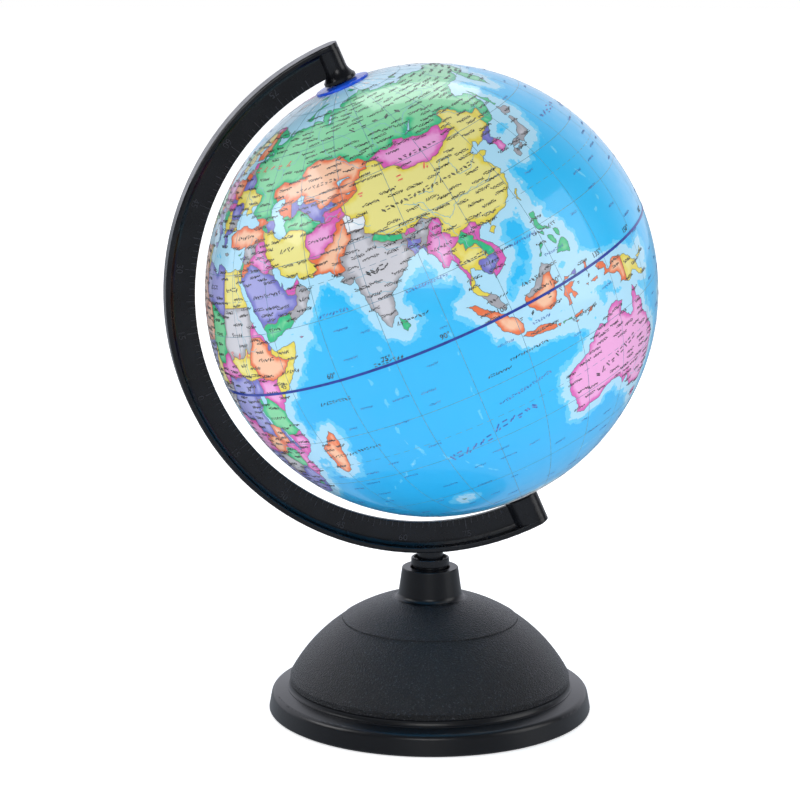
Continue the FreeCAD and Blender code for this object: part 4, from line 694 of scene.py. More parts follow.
# numbers along the equator, and the font they share with the arm's scale
MERIDIAN_NUMBER_OFFSET = (-3.2 * MM, 2.9 * MM)
MERIDIAN_NUMBER_HEIGHT = 2.3 * MM
DIGIT_HEIGHT_OF_FONT = 0.72
DIGIT_CURVE_STEPS = 3

# the arm's scale, on both faces of its web; TICK_ENDS has the outer radius of every 1st, 5th
# and 10th tick
ARM_FACE = 1.4 * MM
SCALE_RELIEF = 0.14 * MM
SCALE_ROOT = 0.05 * MM
SCALE_STEP_DEG = 1.5
SCALE_STEPS = 56
NUMERAL_STEPS = 52
EQUATOR_ANGLE = 180 + math.degrees(math.asin(-SPIN["axis"][0]))
TICK_WIDTH = 0.36 * MM
TICK_START = 105.3 * MM
TICK_ENDS = {1: 107.6 * MM, 5: 109.0 * MM, 10: 110.0 * MM}
NUMERAL_EVERY = 10
NUMERAL_RADIUS = 112.2 * MM
NUMERAL_HEIGHT = 3.0 * MM

# the camera: lens and sensor in millimetres, distance and height in metres, angles in degrees
CAMERA_LENS = 121.3
CAMERA_SENSOR = 36
CAMERA_REACH = 20
CAMERA_AZIMUTH = -10.86
CAMERA_DISTANCE = 1.1798
CAMERA_HEIGHT = 0.3785
CAMERA_YAW = 0.67
CAMERA_PITCH = -11.31
CAMERA_ROLL = 0.13

# floor and room; the far wall's values are a span of the direction's Y and the light there
FLOOR_RINGS = (0.05, 0.2, 0.6, 2.0, 6.0)
FLOOR_SIDES = 96
FLOOR_GLOW = 0.58
FLOOR_IN_GLOSS = 0.5
FLOOR_CLOUD = 0.2
ROOM_STRENGTH = 0.55
FAR_WALL = {"From Min": 0.1, "From Max": 0.7, "To Min": 0.1, "To Max": 1.0}

# soft boxes: place, size in metres and power in watts
LIGHTS = {
    "left_key": ((-1.45, 0.2, 1.15), (0.8, 0.8), 7.5),
    "right_softbox": ((1.6, -0.7, 0.8), (1.0, 1.4), 7),
    "top_softbox": ((0.1, 1.1, 1.7), (1.0, 0.6), 5),
    "front_softbox": ((-0.5, -2.2, 1.0), (1.0, 0.8), 8),
}

# the heights where the base's grain starts and stops
GRAIN_START = (13.2 * MM, 13.9 * MM)
GRAIN_STOP = (51.9 * MM, 52.4 * MM)

# the grain on the base's dome: noises as size, detail and roughness; its lighter specks in the colour are
# painted glints of the grain
GRAIN_NOISE = (0.78 * MM, 2.0, 0.65)
GRAIN_DEPTH = 0.8 * MM
PEEL_NOISE = (1.6 * MM, 2.0)
PEEL_SHARE = 0.03
# where the grain noise turns to the lighter colour: painted glints, not a real speckle
GLINT_SPECK_RANGE = (0.57, 0.7)
BASE_AND_GLINT_COLOURS = ("#0D0F13", "#383C43")
BASE_ROUGHNESS = (0.3, 0.32)

# the print: where most values of a noise lie, then the sizes and ranges of its unevenness
NOISE_MIDDLE = (0.3, 0.7)
NOISE_MOST = (0.2, 0.8)
PRINT_GLOSS_SIZE = 6 * MM
PRINT_GLOSS_RANGE = (0.32, 0.42)
PRINT_WAVE_SIZE = 9 * MM
PRINT_WAVE_DEPTH = 0.02 * MM
INK_PATCH_SIZE = 1.5 * MM
INK_THINNING = (0.35, 0.8, 0.0, 0.22)
LAND_RAGGED = {"size": 8 * MM, "detail": 3.0, "reach": 0.6}
LAND_FADE = (0.1, 1.6)
SEA_RAGGED = {"size": 5 * MM, "detail": 4.0, "reach": 0.35}
SHALLOW_END = (0.6, 0.72)
SLOPE_END = (0.96, 1.06)
# each zone's blue at the bottom of the ball, then the lighter blue at its top; the lighter top is painted
# light from above
SEA_INKS = {
    "deep": ("#27B0EF", "#1FC0FB"),
    "slope": ("#58C2F3", "#62D0FC"),
    "shallow": ("#A2D6F3", "#B0E2F9"),
}

# Plain finishes, by the record's slot. cloud and bump are noises as size, detail and
# roughness: cloud changes between the two colours, over cloud_range of its values where that
# is given, and bump raises the surface by depth. gloss is the size of the noise that changes
# the roughness over gloss_range. The rest are the shader's own values.
WHITE_PLASTIC = {
    "name": "ball_white_plastic", "colours": ("#E2E4E6", "#F2F3F4"), "cloud": (10 * MM,),
    "bump": (1.5 * MM,), "depth": 0.01 * MM, "Roughness": 0.4}
STEEL = {"cloud": (0.5 * MM,), "gloss": 0.5 * MM, "bump": (0.5 * MM,), "depth": 0.01 * MM, "Metallic": 1.0}
PLAIN_FINISHES = {
    "arm_plastic": {
        "name": "arm_black_plastic", "colours": ("#0B0C10", "#121419"), "cloud": (14 * MM,),
        "cloud_range": (0.35, 0.7), "gloss": 5 * MM, "gloss_range": (0.21, 0.28),
        "bump": (1.1 * MM, 2.0), "depth": 0.012 * MM, "Specular_IOR_Level": 0.5},
    "foot_rubber": {
        "name": "foot_rubber", "colours": ("#17171A", "#2C2C30"), "cloud": (0.7 * MM, 4.0, 0.6),
        "bump": (0.7 * MM, 4.0, 0.6), "depth": 0.05 * MM, "Roughness": 0.85, "Specular_IOR_Level": 0.3},
    "screw_steel": {
        "name": "screw_steel", "colours": ("#8E9096", "#C4C6CA"), "gloss_range": (0.27, 0.4), **STEEL},
    "washer_steel": {
        "name": "washer_steel", "colours": ("#8E9096", "#D2D4D8"), "gloss_range": (0.21, 0.34), **STEEL},
    "pin_steel": {
        "name": "pin_steel", "colours": ("#8E9096", "#DADCE0"), "gloss_range": (0.15, 0.28), **STEEL},
    "bush_plastic": {
        "name": "bearing_dark_nylon", "colours": ("#24262B", "#34363C"), "cloud": (2 * MM,),
        "bump": (0.6 * MM,), "depth": 0.02 * MM, "Roughness": 0.5},
    "inner_plastic": WHITE_PLASTIC,
    "globe_print": WHITE_PLASTIC,
    "equator_tape": {
        "name": "equator_navy_tape", "colours": ("#15308F", "#1E3FA8"), "cloud": (3 * MM,),
        "cloud_range": NOISE_MIDDLE, "bump": (0.8 * MM,), "depth": 0.008 * MM, "Roughness": 0.38,
        "Coat_Weight": 0.5, "Coat_Roughness": 0.1},
    "pole_cap_plastic": {
        "name": "pole_cap_blue_plastic", "colours": ("#0F45D2", "#1C62F2"), "cloud": (7 * MM,),
        "cloud_range": (0.35, 0.65), "gloss": 3 * MM, "gloss_range": (0.2, 0.28),
        "bump": (2 * MM,), "depth": 0.01 * MM, "Coat_Weight": 0.3, "Coat_Roughness": 0.08,
        "Specular_IOR_Level": 0.4},
}
# the raised scale marks are the arm's black plastic; their lighter grey is painted sheen where the raised
# marks catch the light
SHEEN_SCALE = {
    "name": "scale_painted_sheen_plastic", "colours": ("#1D1F26", "#32343D"), "cloud": (2 * MM,),
    "cloud_range": NOISE_MIDDLE, "bump": (0.4 * MM,), "depth": 0.01 * MM, "Roughness": 0.42}


# ---- map geometry ------------------------------------------------------------------------
def on_ball(lon, lat, radius):
    """Point of the map at a radius, in the frame at rest."""
    east = math.radians(lon - FRONT_LONGITUDE)
    north = math.radians(lat)
    level = FRONT * math.cos(east) + EAST_AT_SIDE * math.sin(east)
    return CENTRE + radius * (level * math.cos(north) + POLAR * math.sin(north))


def direction(point):
    """The same map point on a ball of radius 1 round the origin."""
    return on_ball(*point, 1.0) - CENTRE


def ball_tree(points):
    """A search tree over map points, which finds neighbours across the seam too."""
    tree = kdtree.KDTree(len(points))
    for index, point in enumerate(points):
        tree.insert(direction(point), index)
    tree.balance()
    return tree


def read_line(text):
    """List of (lon, lat) from "lon lat, lon lat"."""
    points = []
    for pair in text.split(","):
        lon, lat = pair.split()
        points.append((float(lon), float(lat)))
    return points


def read_lines(text):
    """The lines that semicolons part."""
    return [read_line(part) for part in text.split(";")]


def arc_degrees(a, b):
    """Length of a short map segment in degrees of arc."""
    return math.hypot((b[0] - a[0]) * math.cos(math.radians((a[1] + b[1]) / 2)), b[1] - a[1])


def wander(a, b):
    """A repeatable number from -1 to 1 for a segment, the same each run."""
    first, second, third, fourth = HASH_WEIGHTS
    mixed = math.sin(a[0] * first + a[1] * second + b[0] * third + b[1] * fourth) * HASH_SPREAD
    return 2 * (mixed - math.floor(mixed)) - 1


def crinkled(points, roughness, longest=LONGEST_SEGMENT_DEG):
    """Splits a line's segments until each is short, moving each new point aside a little."""
    result = [points[0]]
    for a, b in zip(points, points[1:]):
        result += split_segment(a, b, roughness, longest)
    return result


def split_segment(a, b, roughness, longest):
    """The points after a, up to and with b. Along a meridian or parallel they stay in line."""
    if arc_degrees(a, b) <= longest:
        return [b]
    straight = a[0] == b[0] or a[1] == b[1]
    aside = 0.0 if straight else roughness * wander(a, b)
    stretch = math.cos(math.radians((a[1] + b[1]) / 2))
    middle = ((a[0] + b[0]) / 2 - aside * (b[1] - a[1]) / max(stretch, LEAST_CRINKLE_STRETCH),
              (a[1] + b[1]) / 2 + aside * (b[0] - a[0]) * stretch)
    return split_segment(a, middle, roughness, longest) + split_segment(middle, b, roughness, longest)


def map_copies(points):
    """The line moved by whole turns so that it covers the map's range of longitude."""
    low = min(lon for lon, lat in points)
    high = max(lon for lon, lat in points)
    copies = []
    for turn in (-360, 0, 360):
        if high + turn > SEAM_LONGITUDE and low + turn < SEAM_LONGITUDE + 360:
            copies.append([(lon + turn, lat) for lon, lat in points])
    return copies


def inside(point, loop):
    """True if a point is inside a closed outline."""
    x, y = point
    hit = False
    for (x0, y0), (x1, y1) in zip(loop, loop[1:] + loop[:1]):
        if (y0 > y) != (y1 > y) and x < x0 + (y - y0) / (y1 - y0) * (x1 - x0):
            hit = not hit
    return hit


def coast_loops():
    """Closed, crinkled outlines of land and of lakes."""
    loops = []
    for text in (*COASTS.values(), *LAKES.values()):
        for loop in map_copies(read_line(text)):
            loops.append(crinkled(loop + loop[:1], COAST_ROUGHNESS)[:-1])
    return loops


def border_lines():
    """Open lines between countries, crinkled where they aren't drawn with a ruler."""
    lines = []
    for text, roughness in ((BORDERS, BORDER_ROUGHNESS), (STRAIGHT_BORDERS, 0.0)):
        for border in read_lines(text):
            for line in map_copies(border):
                lines.append(crinkled(line, roughness))
    return lines


class PrintedMap:
    """The whole map as one triangle net on the ball, cut along every coast and border."""

    def __init__(self):
        self.points = []
        self.edges = []
        self.kinds = []
        self.coasts = coast_loops()
        self.borders = border_lines()
        for loop in self.coasts:
            self.add_line(loop + loop[:1], "coast")
        for line in self.joined_borders():
            self.add_line(line, "border")
        self.add_frame()
        self.add_grid()
        self.make_net()
        self.find_regions()
        self.index_faces()
        self.colour_regions()

    def joined_borders(self):
        """The border lines, each end carried on to the nearest point of another line."""
        lines = self.coasts + self.borders
        points = [(number, point) for number, line in enumerate(lines) for point in line]
        tree = ball_tree([point for _, point in points])
        joined = []
        for number, line in enumerate(self.borders, len(self.coasts)):
            line = list(line)
            for end, at_start in ((line[0], True), (line[-1], False)):
                found = tree.find_range(direction(end), math.radians(JOIN_DEG))
                for _, index, _ in sorted(found, key=lambda hit: hit[2]):
                    if points[index][0] != number:
                        line.insert(0 if at_start else len(line), points[index][1])
                        break
            joined.append(line)
        return joined

    def add_line(self, points, kind):
        """Adds a line's points and its edges to the net's input."""
        first = len(self.points)
        closed = len(points) > 2 and points[0] == points[-1]
        if closed:
            points = points[:-1]
        self.points += points
        count = len(points)
        for index in range(count if closed else count - 1):
            self.edges.append((first + index, first + (index + 1) % count))
            self.kinds.append(kind)

    def add_frame(self):
        """The map's rectangle: both pole edges and both sides of the seam."""
        north = MAP_EDGE_LATITUDE
        rows = [-north + 2 * north * i / FRAME_ROWS for i in range(FRAME_ROWS + 1)]
        columns = [SEAM_LONGITUDE + 360 * i / FRAME_COLUMNS for i in range(FRAME_COLUMNS + 1)]
        for lat in (north, -north):
            self.add_line([(lon, lat) for lon in columns], "frame")
        for lon in (SEAM_LONGITUDE, SEAM_LONGITUDE + 360):
            self.add_line([(lon, lat) for lat in rows], "frame")

    def add_grid(self):
        """Free points between the lines, in staggered rows, so that the net follows the ball."""
        near = ball_tree(self.points)
        rows = int(2 * MAP_EDGE_LATITUDE / NET_STEP_DEG)
        for row in range(1, rows):
            lat = -MAP_EDGE_LATITUDE + 2 * MAP_EDGE_LATITUDE * row / rows
            count = max(FEWEST_IN_ROW, round(360 / NET_STEP_DEG * math.cos(math.radians(lat))))
            for column in range(count):
                lon = SEAM_LONGITUDE + 360 * (column + 0.25 + 0.5 * (row % 2)) / count
                _, _, apart = near.find(direction((lon, lat)))
                if apart > math.radians(GRID_CLEAR_DEG):
                    self.points.append((lon, lat))

    def make_net(self):
        """Triangulates, and drops what lies outside the map's rectangle."""
        flat = [Vector(point) for point in self.points]
        verts, edges, faces, _, from_edges, _ = delaunay_2d_cdt(
            flat, self.edges, [], TRIANGLES_IN_HULL, MERGE_DEG, True)
        self.verts = [(v[0], v[1]) for v in verts]
        self.line_edges = {}
        for edge, sources in zip(edges, from_edges):
            kinds = {self.kinds[source] for source in sources}
            if kinds:
                self.line_edges[tuple(sorted(edge))] = kinds
        self.faces = []
        for face in faces:
            lon = sum(self.verts[i][0] for i in face) / 3
            lat = sum(self.verts[i][1] for i in face) / 3
            if abs(lat) < MAP_EDGE_LATITUDE and 0 < lon - SEAM_LONGITUDE < 360:
                self.faces.append(tuple(face))

    def find_regions(self):
        """Gives every triangle the number of its region: what no line divides."""
        self.sides = {}
        for number, face in enumerate(self.faces):
            for a, b in zip(face, face[1:] + face[:1]):
                self.sides.setdefault((min(a, b), max(a, b)), []).append(number)
        neighbours = [[] for _ in self.faces]
        for edge, pair in self.sides.items():
            if len(pair) == 2 and edge not in self.line_edges:
                neighbours[pair[0]].append(pair[1])
                neighbours[pair[1]].append(pair[0])
        self.region = [-1] * len(self.faces)
        count = 0
        for start in range(len(self.faces)):
            if self.region[start] >= 0:
                continue
            stack = [start]
            self.region[start] = count
            while stack:
                here = stack.pop()
                for other in neighbours[here]:
                    if self.region[other] < 0:
                        self.region[other] = count
                        stack.append(other)
            count += 1

    def index_faces(self):
        self.cells = {}
        for number, face in enumerate(self.faces):
            corners = [self.verts[i] for i in face]
            columns = [math.floor(lon / CELL_DEG) for lon, lat in corners]
            rows = [math.floor(lat / CELL_DEG) for lon, lat in corners]
            for column in range(min(columns), max(columns) + 1):
                for row in range(min(rows), max(rows) + 1):
                    self.cells.setdefault((column, row), []).append(number)

    def region_middles(self):
        """A point well inside each region: the middle of its largest triangle."""
        largest = {}
        for face, region in zip(self.faces, self.region):
            a, b, c = (self.verts[i] for i in face)
            area = abs((b[0] - a[0]) * (c[1] - a[1]) - (c[0] - a[0]) * (b[1] - a[1]))
            if area > largest.get(region, (0,))[0]:
                largest[region] = (area, ((a[0] + b[0] + c[0]) / 3, (a[1] + b[1] + c[1]) / 3))
        return {region: middle for region, (_, middle) in largest.items()}

    def colour_regions(self):
        """Names each region's colour, from the countries' points and the land outlines."""
        boxes = []
        for loop in self.coasts:
            lons, lats = zip(*loop)
            boxes.append((min(lons), max(lons), min(lats), max(lats)))
        self.colour = {}
        for region, middle in self.region_middles().items():
            count = 0
            for loop, (west, east, south, north) in zip(self.coasts, boxes):
                if west < middle[0] < east and south < middle[1] < north:
                    count += inside(middle, loop)
            self.colour[region] = "land" if count % 2 else "sea"
        for colour, text in COUNTRIES.items():
            for lon, lat in read_line(text):
                if lon < SEAM_LONGITUDE:
                    lon += 360
                region = self.region_at(lon, lat)
                if region is not None and self.colour[region] != "sea":
                    self.colour[region] = colour
        for region, colour in self.colour.items():
            if colour == "land":
                self.colour[region] = SPARE_COLOURS[region % len(SPARE_COLOURS)]

    def region_at(self, lon, lat):
        """The region of the triangle that holds a point."""
        for number in self.cells.get((math.floor(lon / CELL_DEG), math.floor(lat / CELL_DEG)), []):
            if inside((lon, lat), [self.verts[i] for i in self.faces[number]]):
                return self.region[number]
        return None

    def colour_at(self, lon, lat):
        """The colour printed at a map point, or None beyond the map's edge."""
        region = self.region_at(lon, lat)
        return None if region is None else self.colour[region]

    def line_distance(self, kinds):
        """For every net point, the arc to the nearest line of these kinds, in degrees."""
        marked = set()
        for edge, edge_kinds in self.line_edges.items():
            if edge_kinds & kinds:
                marked.update(edge)
        return self.distance_to([self.verts[index] for index in marked])

    def distance_to(self, points):
        """For every net point, the arc to the nearest of these map points, in degrees."""
        tree = ball_tree(points)
        return [math.degrees(tree.find(direction(vert))[2]) for vert in self.verts]

    def runs(self, coastal):
        """Edges of the net between two regions, as point pairs: at the sea, or between lands."""
        pairs = []
        for edge in self.line_edges:
            sides = self.sides.get(edge, [])
            if len(sides) == 2:
                first, second = (self.region[side] for side in sides)
                at_sea = "sea" in (self.colour[first], self.colour[second])
                if first != second and at_sea == coastal:
                    pairs.append((self.verts[edge[0]], self.verts[edge[1]]))
        return pairs


def shell_piece(name, faces, tops, lows, outward, body, shades=None):
    """A closed thin piece: faces at the top points, their copy at the low ones, and a wall."""
    used = sorted({index for face in faces for index in face})
    place = {index: number for number, index in enumerate(used)}
    count = len(used)
    verts = [tops[i] for i in used] + [lows[i] for i in used]
    normals = [outward[i] for i in used] + [-outward[i] for i in used]
    wall = {}
    solid = []
    for face in faces:
        ring = [place[i] for i in face]
        a, b, c = (verts[i] for i in ring[:3])
        if (b - a).cross(c - a).dot(normals[ring[0]]) < 0:
            ring.reverse()
        solid.append(tuple(ring))
        solid.append(tuple(i + count for i in reversed(ring)))
        for side in zip(ring, ring[1:] + ring[:1]):
            if (side[1], side[0]) in wall:
                del wall[(side[1], side[0])]
            else:
                wall[side] = True
    for a, b in wall:
        solid.append((b, a, a + count, b + count))
    mesh = bpy.data.meshes.new(name)
    mesh.from_pydata([tuple(v) for v in verts], [], solid)
    mesh.shade_smooth()
    mesh.normals_split_custom_set_from_vertices([tuple(n) for n in normals])
    if shades is not None:
        layer = mesh.attributes.new("shade", "FLOAT", "POINT")
        values = [shades[i] for i in used]
        layer.data.foreach_set("value", values + values)
    piece = bpy.data.objects.new(name, mesh)
    bpy.context.scene.collection.objects.link(piece)
    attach(piece, body)
    return piece


def ball_piece(name, points, faces, top, low, shades=None):
    """A thin piece on the ball, from points in degrees."""
    tops = [on_ball(lon, lat, top) for lon, lat in points]
    lows = [on_ball(lon, lat, low) for lon, lat in points]
    outward = [(point - CENTRE).normalized() for point in tops]
    return shell_piece(name, faces, tops, lows, outward, "globe", shades)


class Strokes:
    """Collects short printed strokes as quads in degrees, to become one thin piece."""

    def __init__(self, layer):
        self.layer = layer
        self.points = []
        self.faces = []

    def segment(self, a, b, width, overlap=0.0):
        """A straight stroke from a to b; width and overlap in metres."""
        stretch = max(LEAST_STROKE_STRETCH, math.cos(math.radians((a[1] + b[1]) / 2)))
        along = Vector(((b[0] - a[0]) * stretch, b[1] - a[1]))
        if along.length < SHORTEST_STROKE_DEG:
            return
        along.normalize()
        side = Vector((-along.y, along.x)) * (width / 2 / METRES_PER_DEG)
        extra = along * (overlap / METRES_PER_DEG)
        first = len(self.points)
        for end, sign in ((a, -1), (b, 1)):
            lon = end[0] + sign * extra.x / stretch
            lat = end[1] + sign * extra.y
            self.points.append((lon + side.x / stretch, lat + side.y))
            self.points.append((lon - side.x / stretch, lat - side.y))
        self.faces.append((first, first + 1, first + 3, first + 2))

    def dot(self, centre):
        """A small round patch."""
        stretch = max(LEAST_STROKE_STRETCH, math.cos(math.radians(centre[1])))
        first = len(self.points)
        for side in range(DOT_SIDES):
            turn = math.tau * side / DOT_SIDES
            east = DOT_RADIUS * math.cos(turn) / METRES_PER_DEG
            north = DOT_RADIUS * math.sin(turn) / METRES_PER_DEG
            self.points.append((centre[0] + east / stretch, centre[1] + north))
        self.faces.append(tuple(range(first, first + DOT_SIDES)))

    def piece(self, name, colour):
        """The collected strokes as one object, in an ink."""
        made = ball_piece(name, self.points, self.faces, LAYER_TOP[self.layer], PRINT_TOP - INK_OVERLAP)
        made.data.materials.append(ink_material(name, colour))


# ---- strokes in place of names -----------------------------------------------------------
# each mark is two short strokes in a box 0.6 wide and 1 high; none of them is a letter
MARKS = [
    [((0, 0.3), (0.55, 0.75)), ((0, 0.02), (0.55, 0.47))],
    [((0, 0.75), (0.55, 0.3)), ((0, 0.47), (0.55, 0.02))],
    [((0, 0.5), (0.6, 0.5)), ((0.1, 0.15), (0.45, 0.15))],
    [((0, 0.85), (0.6, 0.85)), ((0, 0.25), (0.6, 0.25))],
    [((0.05, 0.1), (0.5, 0.9)), ((0.45, 0.05), (0.6, 0.3))],
    [((0.5, 0.1), (0.05, 0.9)), ((0.45, 0.95), (0.6, 0.7))],
    [((0, 0.7), (0.3, 0.35)), ((0.3, 0.7), (0.6, 0.35))],
    [((0, 0.3), (0.25, 0.6)), ((0.3, 0.45), (0.6, 0.8))],
]


def moved(centre, east, north):
    """The map point that far east and north of another, in metres."""
    lat = centre[1] + north / METRES_PER_DEG
    return centre[0] + east / METRES_PER_DEG / math.cos(math.radians(lat)), lat


def turned(east, north, degrees):
    """An offset turned round, from east towards north."""
    rise = math.radians(degrees)
    return (east * math.cos(rise) - north * math.sin(rise),
            east * math.sin(rise) + north * math.cos(rise))


def label(strokes, centre, count, height, advance, weight, slant=0.0, climb=0.0):
    """A row of marks in place of a name, centred on a map point, rising by climb degrees."""
    for number in range(count):
        mark = MARKS[rng.randrange(len(MARKS))]
        start = (number - (count - 1) / 2) * advance - MARK_WIDTH / 2 * height
        for ends in mark:
            placed = []
            for x, y in ends:
                east = start + (x + slant * y) * height
                placed.append(moved(centre, *turned(east, (y - 0.5) * height, climb)))
            strokes.segment(placed[0], placed[1], weight)


def text_shape(body, height):
    """Points and faces of a printed number, centred on its own middle, in metres."""
    curve = bpy.data.curves.new("numeral", "FONT")
    curve.body = body
    curve.size = height / DIGIT_HEIGHT_OF_FONT
    curve.align_x = "CENTER"
    curve.resolution_u = DIGIT_CURVE_STEPS
    holder = bpy.data.objects.new("numeral", curve)
    mesh = bpy.data.meshes.new_from_object(holder)
    points = [(v.co.x, v.co.y - height / 2) for v in mesh.vertices]
    faces = [tuple(face.vertices) for face in mesh.polygons]
    bpy.data.objects.remove(holder)
    bpy.data.curves.remove(curve)
    bpy.data.meshes.remove(mesh)
    return points, faces


def print_numeral(strokes, centre, body, height):
    """Puts a number's shape on the map."""
    points, faces = text_shape(body, height)
    first = len(strokes.points)
    strokes.points += [moved(centre, east, north) for east, north in points]
    strokes.faces += [tuple(first + i for i in face) for face in faces]


# ---- the printed ball --------------------------------------------------------------------
def sea_depths(printed):
    """Depth for every net point: small near a coast and over a ridge, and about 1 elsewhere."""
    ridges = [point for ridge in read_lines(RIDGES) for line in map_copies(ridge)
              for point in crinkled(line, 0.0, RIDGE_SEGMENT_DEG)]
    depths = []
    offshore = printed.line_distance({"coast"})
    for vert, coast, ridge in zip(printed.verts, offshore, printed.distance_to(ridges)):
        arctic = (ARCTIC_SHELF_LATITUDE - vert[1]) / PALE_DISTANCE_DEG
        over_ridge = RIDGE_DEPTH + ridge / RIDGE_HALF_WIDTH_DEG
        depths.append(min(max(arctic, 0), coast / PALE_DISTANCE_DEG, over_ridge))
    return depths


def make_colour_patches(printed):
    """One thin piece for each colour of land, and one for the sea."""
    inland = printed.line_distance({"coast", "border"})
    depths = sea_depths(printed)
    by_colour = {}
    for face, region in zip(printed.faces, printed.region):
        by_colour.setdefault(printed.colour[region], []).append(face)
    for colour, faces in sorted(by_colour.items()):
        at_sea = colour == "sea"
        name = "map_sea" if at_sea else "map_land_" + colour
        shades = depths if at_sea else inland
        piece = ball_piece(name, printed.verts, faces, PRINT_TOP, PRINT_LOW, shades)
        piece.data.materials.append(sea_material() if at_sea else land_material(colour))


def make_lines(printed):
    """Coasts, borders, rivers and the net of parallels and meridians."""
    rivers = [crinkled(line, RIVER_ROUGHNESS, RIVER_SEGMENT_DEG) for line in read_lines(RIVERS)]
    segments = {
        "coastline": printed.runs(coastal=True),
        "borders": printed.runs(coastal=False),
        "rivers": [ends for line in rivers for ends in zip(line, line[1:])],
    }
    for layer, (width, colour) in LINE_STYLES.items():
        strokes = Strokes(layer)
        for a, b in segments[layer]:
            strokes.segment(a, b, width, width / 3)
        strokes.piece("map_" + layer, colour)
    make_graticule()


def make_graticule():
    """Meridians and parallels every 15 degrees, and the dashed tropics and polar circles."""
    lines = Strokes("graticule")
    for lon in range(-GRATICULE_EVERY, 360 - GRATICULE_EVERY, GRATICULE_EVERY):
        for lat in range(-GRATICULE_END, GRATICULE_END, GRATICULE_STEP):
            lines.segment((lon, lat), (lon, lat + GRATICULE_STEP), GRATICULE_WIDTH)
    for lat in range(GRATICULE_EVERY - 90, 90, GRATICULE_EVERY):
        if lat == 0:
            continue
        for lon in range(0, 360, GRATICULE_STEP):
            lines.segment((lon, lat), (lon + GRATICULE_STEP, lat), GRATICULE_WIDTH)
    for lat in DASHED_LATITUDES:
        dash = DASH_DEG / math.cos(math.radians(lat))
        count = int(360 / (DASH_PITCH * dash))
        for number in range(count):
            lon = 360 * number / count
            lines.segment((lon, lat), (lon + dash, lat), DASH_WIDTH)
    lines.piece("map_graticule", GRATICULE_INK)


def make_names(printed):
    """Cities with short labels, the large labels, and the numbers along the equator."""
    inks = {colour: Strokes("names") for colour in NAME_INKS}
    dots = Strokes("dots")
    taken = Crowd()
    for lon, lat, count, height, spread, climb, colour in LARGE_LABELS:
        slant = BLUE_SLANT if colour == "blue" else 0.0
        size = height * MM
        label(inks[colour], (lon, lat), count, size, spread * MM, LARGE_WEIGHT * size, slant, climb)
        reach = count * spread * MM / 2
        for step in range(int(2 * reach / CLEAR_STEP) + 1):
            along = turned(step * CLEAR_STEP - reach, 0, climb)
            taken.add(moved((lon, lat), *along), size / 2)
    scatter_cities(printed, inks["black"], dots, taken)
    scatter_sea_names(printed, inks["blue"], taken)
    for colour, strokes in inks.items():
        strokes.piece("map_names_" + colour, NAME_INKS[colour])
    dots.piece("map_dots", NAME_INKS["black"])
    numerals = Strokes("numerals")
    for meridian in range(0, 360, GRATICULE_EVERY):
        shown = meridian if meridian <= 180 else 360 - meridian
        place = moved((meridian, 0), *MERIDIAN_NUMBER_OFFSET)
        print_numeral(numerals, place, f"{shown}°", MERIDIAN_NUMBER_HEIGHT)
    numerals.piece("map_numerals", NAME_INKS["black"])


class Crowd:
    """The places already taken by labels, kept in cubes so that neighbours are found fast."""

    def __init__(self):
        self.cubes = {}

    def cube(self, place):
        """The cube that holds a place."""
        return tuple(math.floor(value / CROWD_CUBE) for value in place)

    def add(self, centre, half_height=0.0):
        """Takes a place on the map."""
        place = on_ball(*centre, BALL_RADIUS)
        self.cubes.setdefault(self.cube(place), []).append((place, half_height))

    def near(self, place):
        """What was taken in this cube and those around it."""
        x, y, z = self.cube(place)
        for i in (x - 1, x, x + 1):
            for j in (y - 1, y, y + 1):
                for k in (z - 1, z, z + 1):
                    yield from self.cubes.get((i, j, k), [])

    def is_free(self, centre, east_gap, north_gap):
        """True if no label's middle is too near, with a wider gap along the parallel."""
        place = on_ball(*centre, BALL_RADIUS)
        east = POLAR.cross(place - CENTRE).normalized()
        for other, half_height in self.near(place):
            apart = place - other
            along = apart.dot(east)
            across = math.sqrt(max(apart.length_squared - along ** 2, 0))
            reach = (along / (east_gap + half_height)) ** 2 + (across / (north_gap + half_height)) ** 2
            if reach < 1:
                return False
        return True


def random_place():
    """An even random map point, clear of the poles."""
    lat = math.degrees(math.asin(rng.uniform(*SINE_OF_EDGES)))
    return rng.uniform(SEAM_LONGITUDE, SEAM_LONGITUDE + 360), lat


def scatter_cities(printed, strokes, dots, taken):
    """Dots with a short label on land, as close as they fit."""
    for _ in range(CITY_TRIES):
        centre = random_place()
        if centre[1] < CITY_LOWEST_LATITUDE or not taken.is_free(centre, *CITY_GAPS):
            continue
        if printed.colour_at(*centre) in (None, "sea"):
            continue
        taken.add(centre)
        count = rng.randint(*CITY_MARKS)
        label(strokes, centre, count, **CITY_LABEL)
        side = rng.choice((-1, 1))
        aside = side * (count * DOT_ASIDE_PER_MARK + DOT_ASIDE)
        dots.dot(moved(centre, aside * MM, rng.uniform(-DOT_RISE, DOT_RISE) * MM))


def scatter_sea_names(printed, strokes, taken):
    """Small blue labels at sea."""
    for _ in range(SEA_NAME_TRIES):
        centre = random_place()
        if printed.colour_at(*centre) == "sea" and taken.is_free(centre, *SEA_NAME_GAPS):
            taken.add(centre)
            label(strokes, centre, rng.randint(*SEA_NAME_MARKS), **SEA_NAME_LABEL)


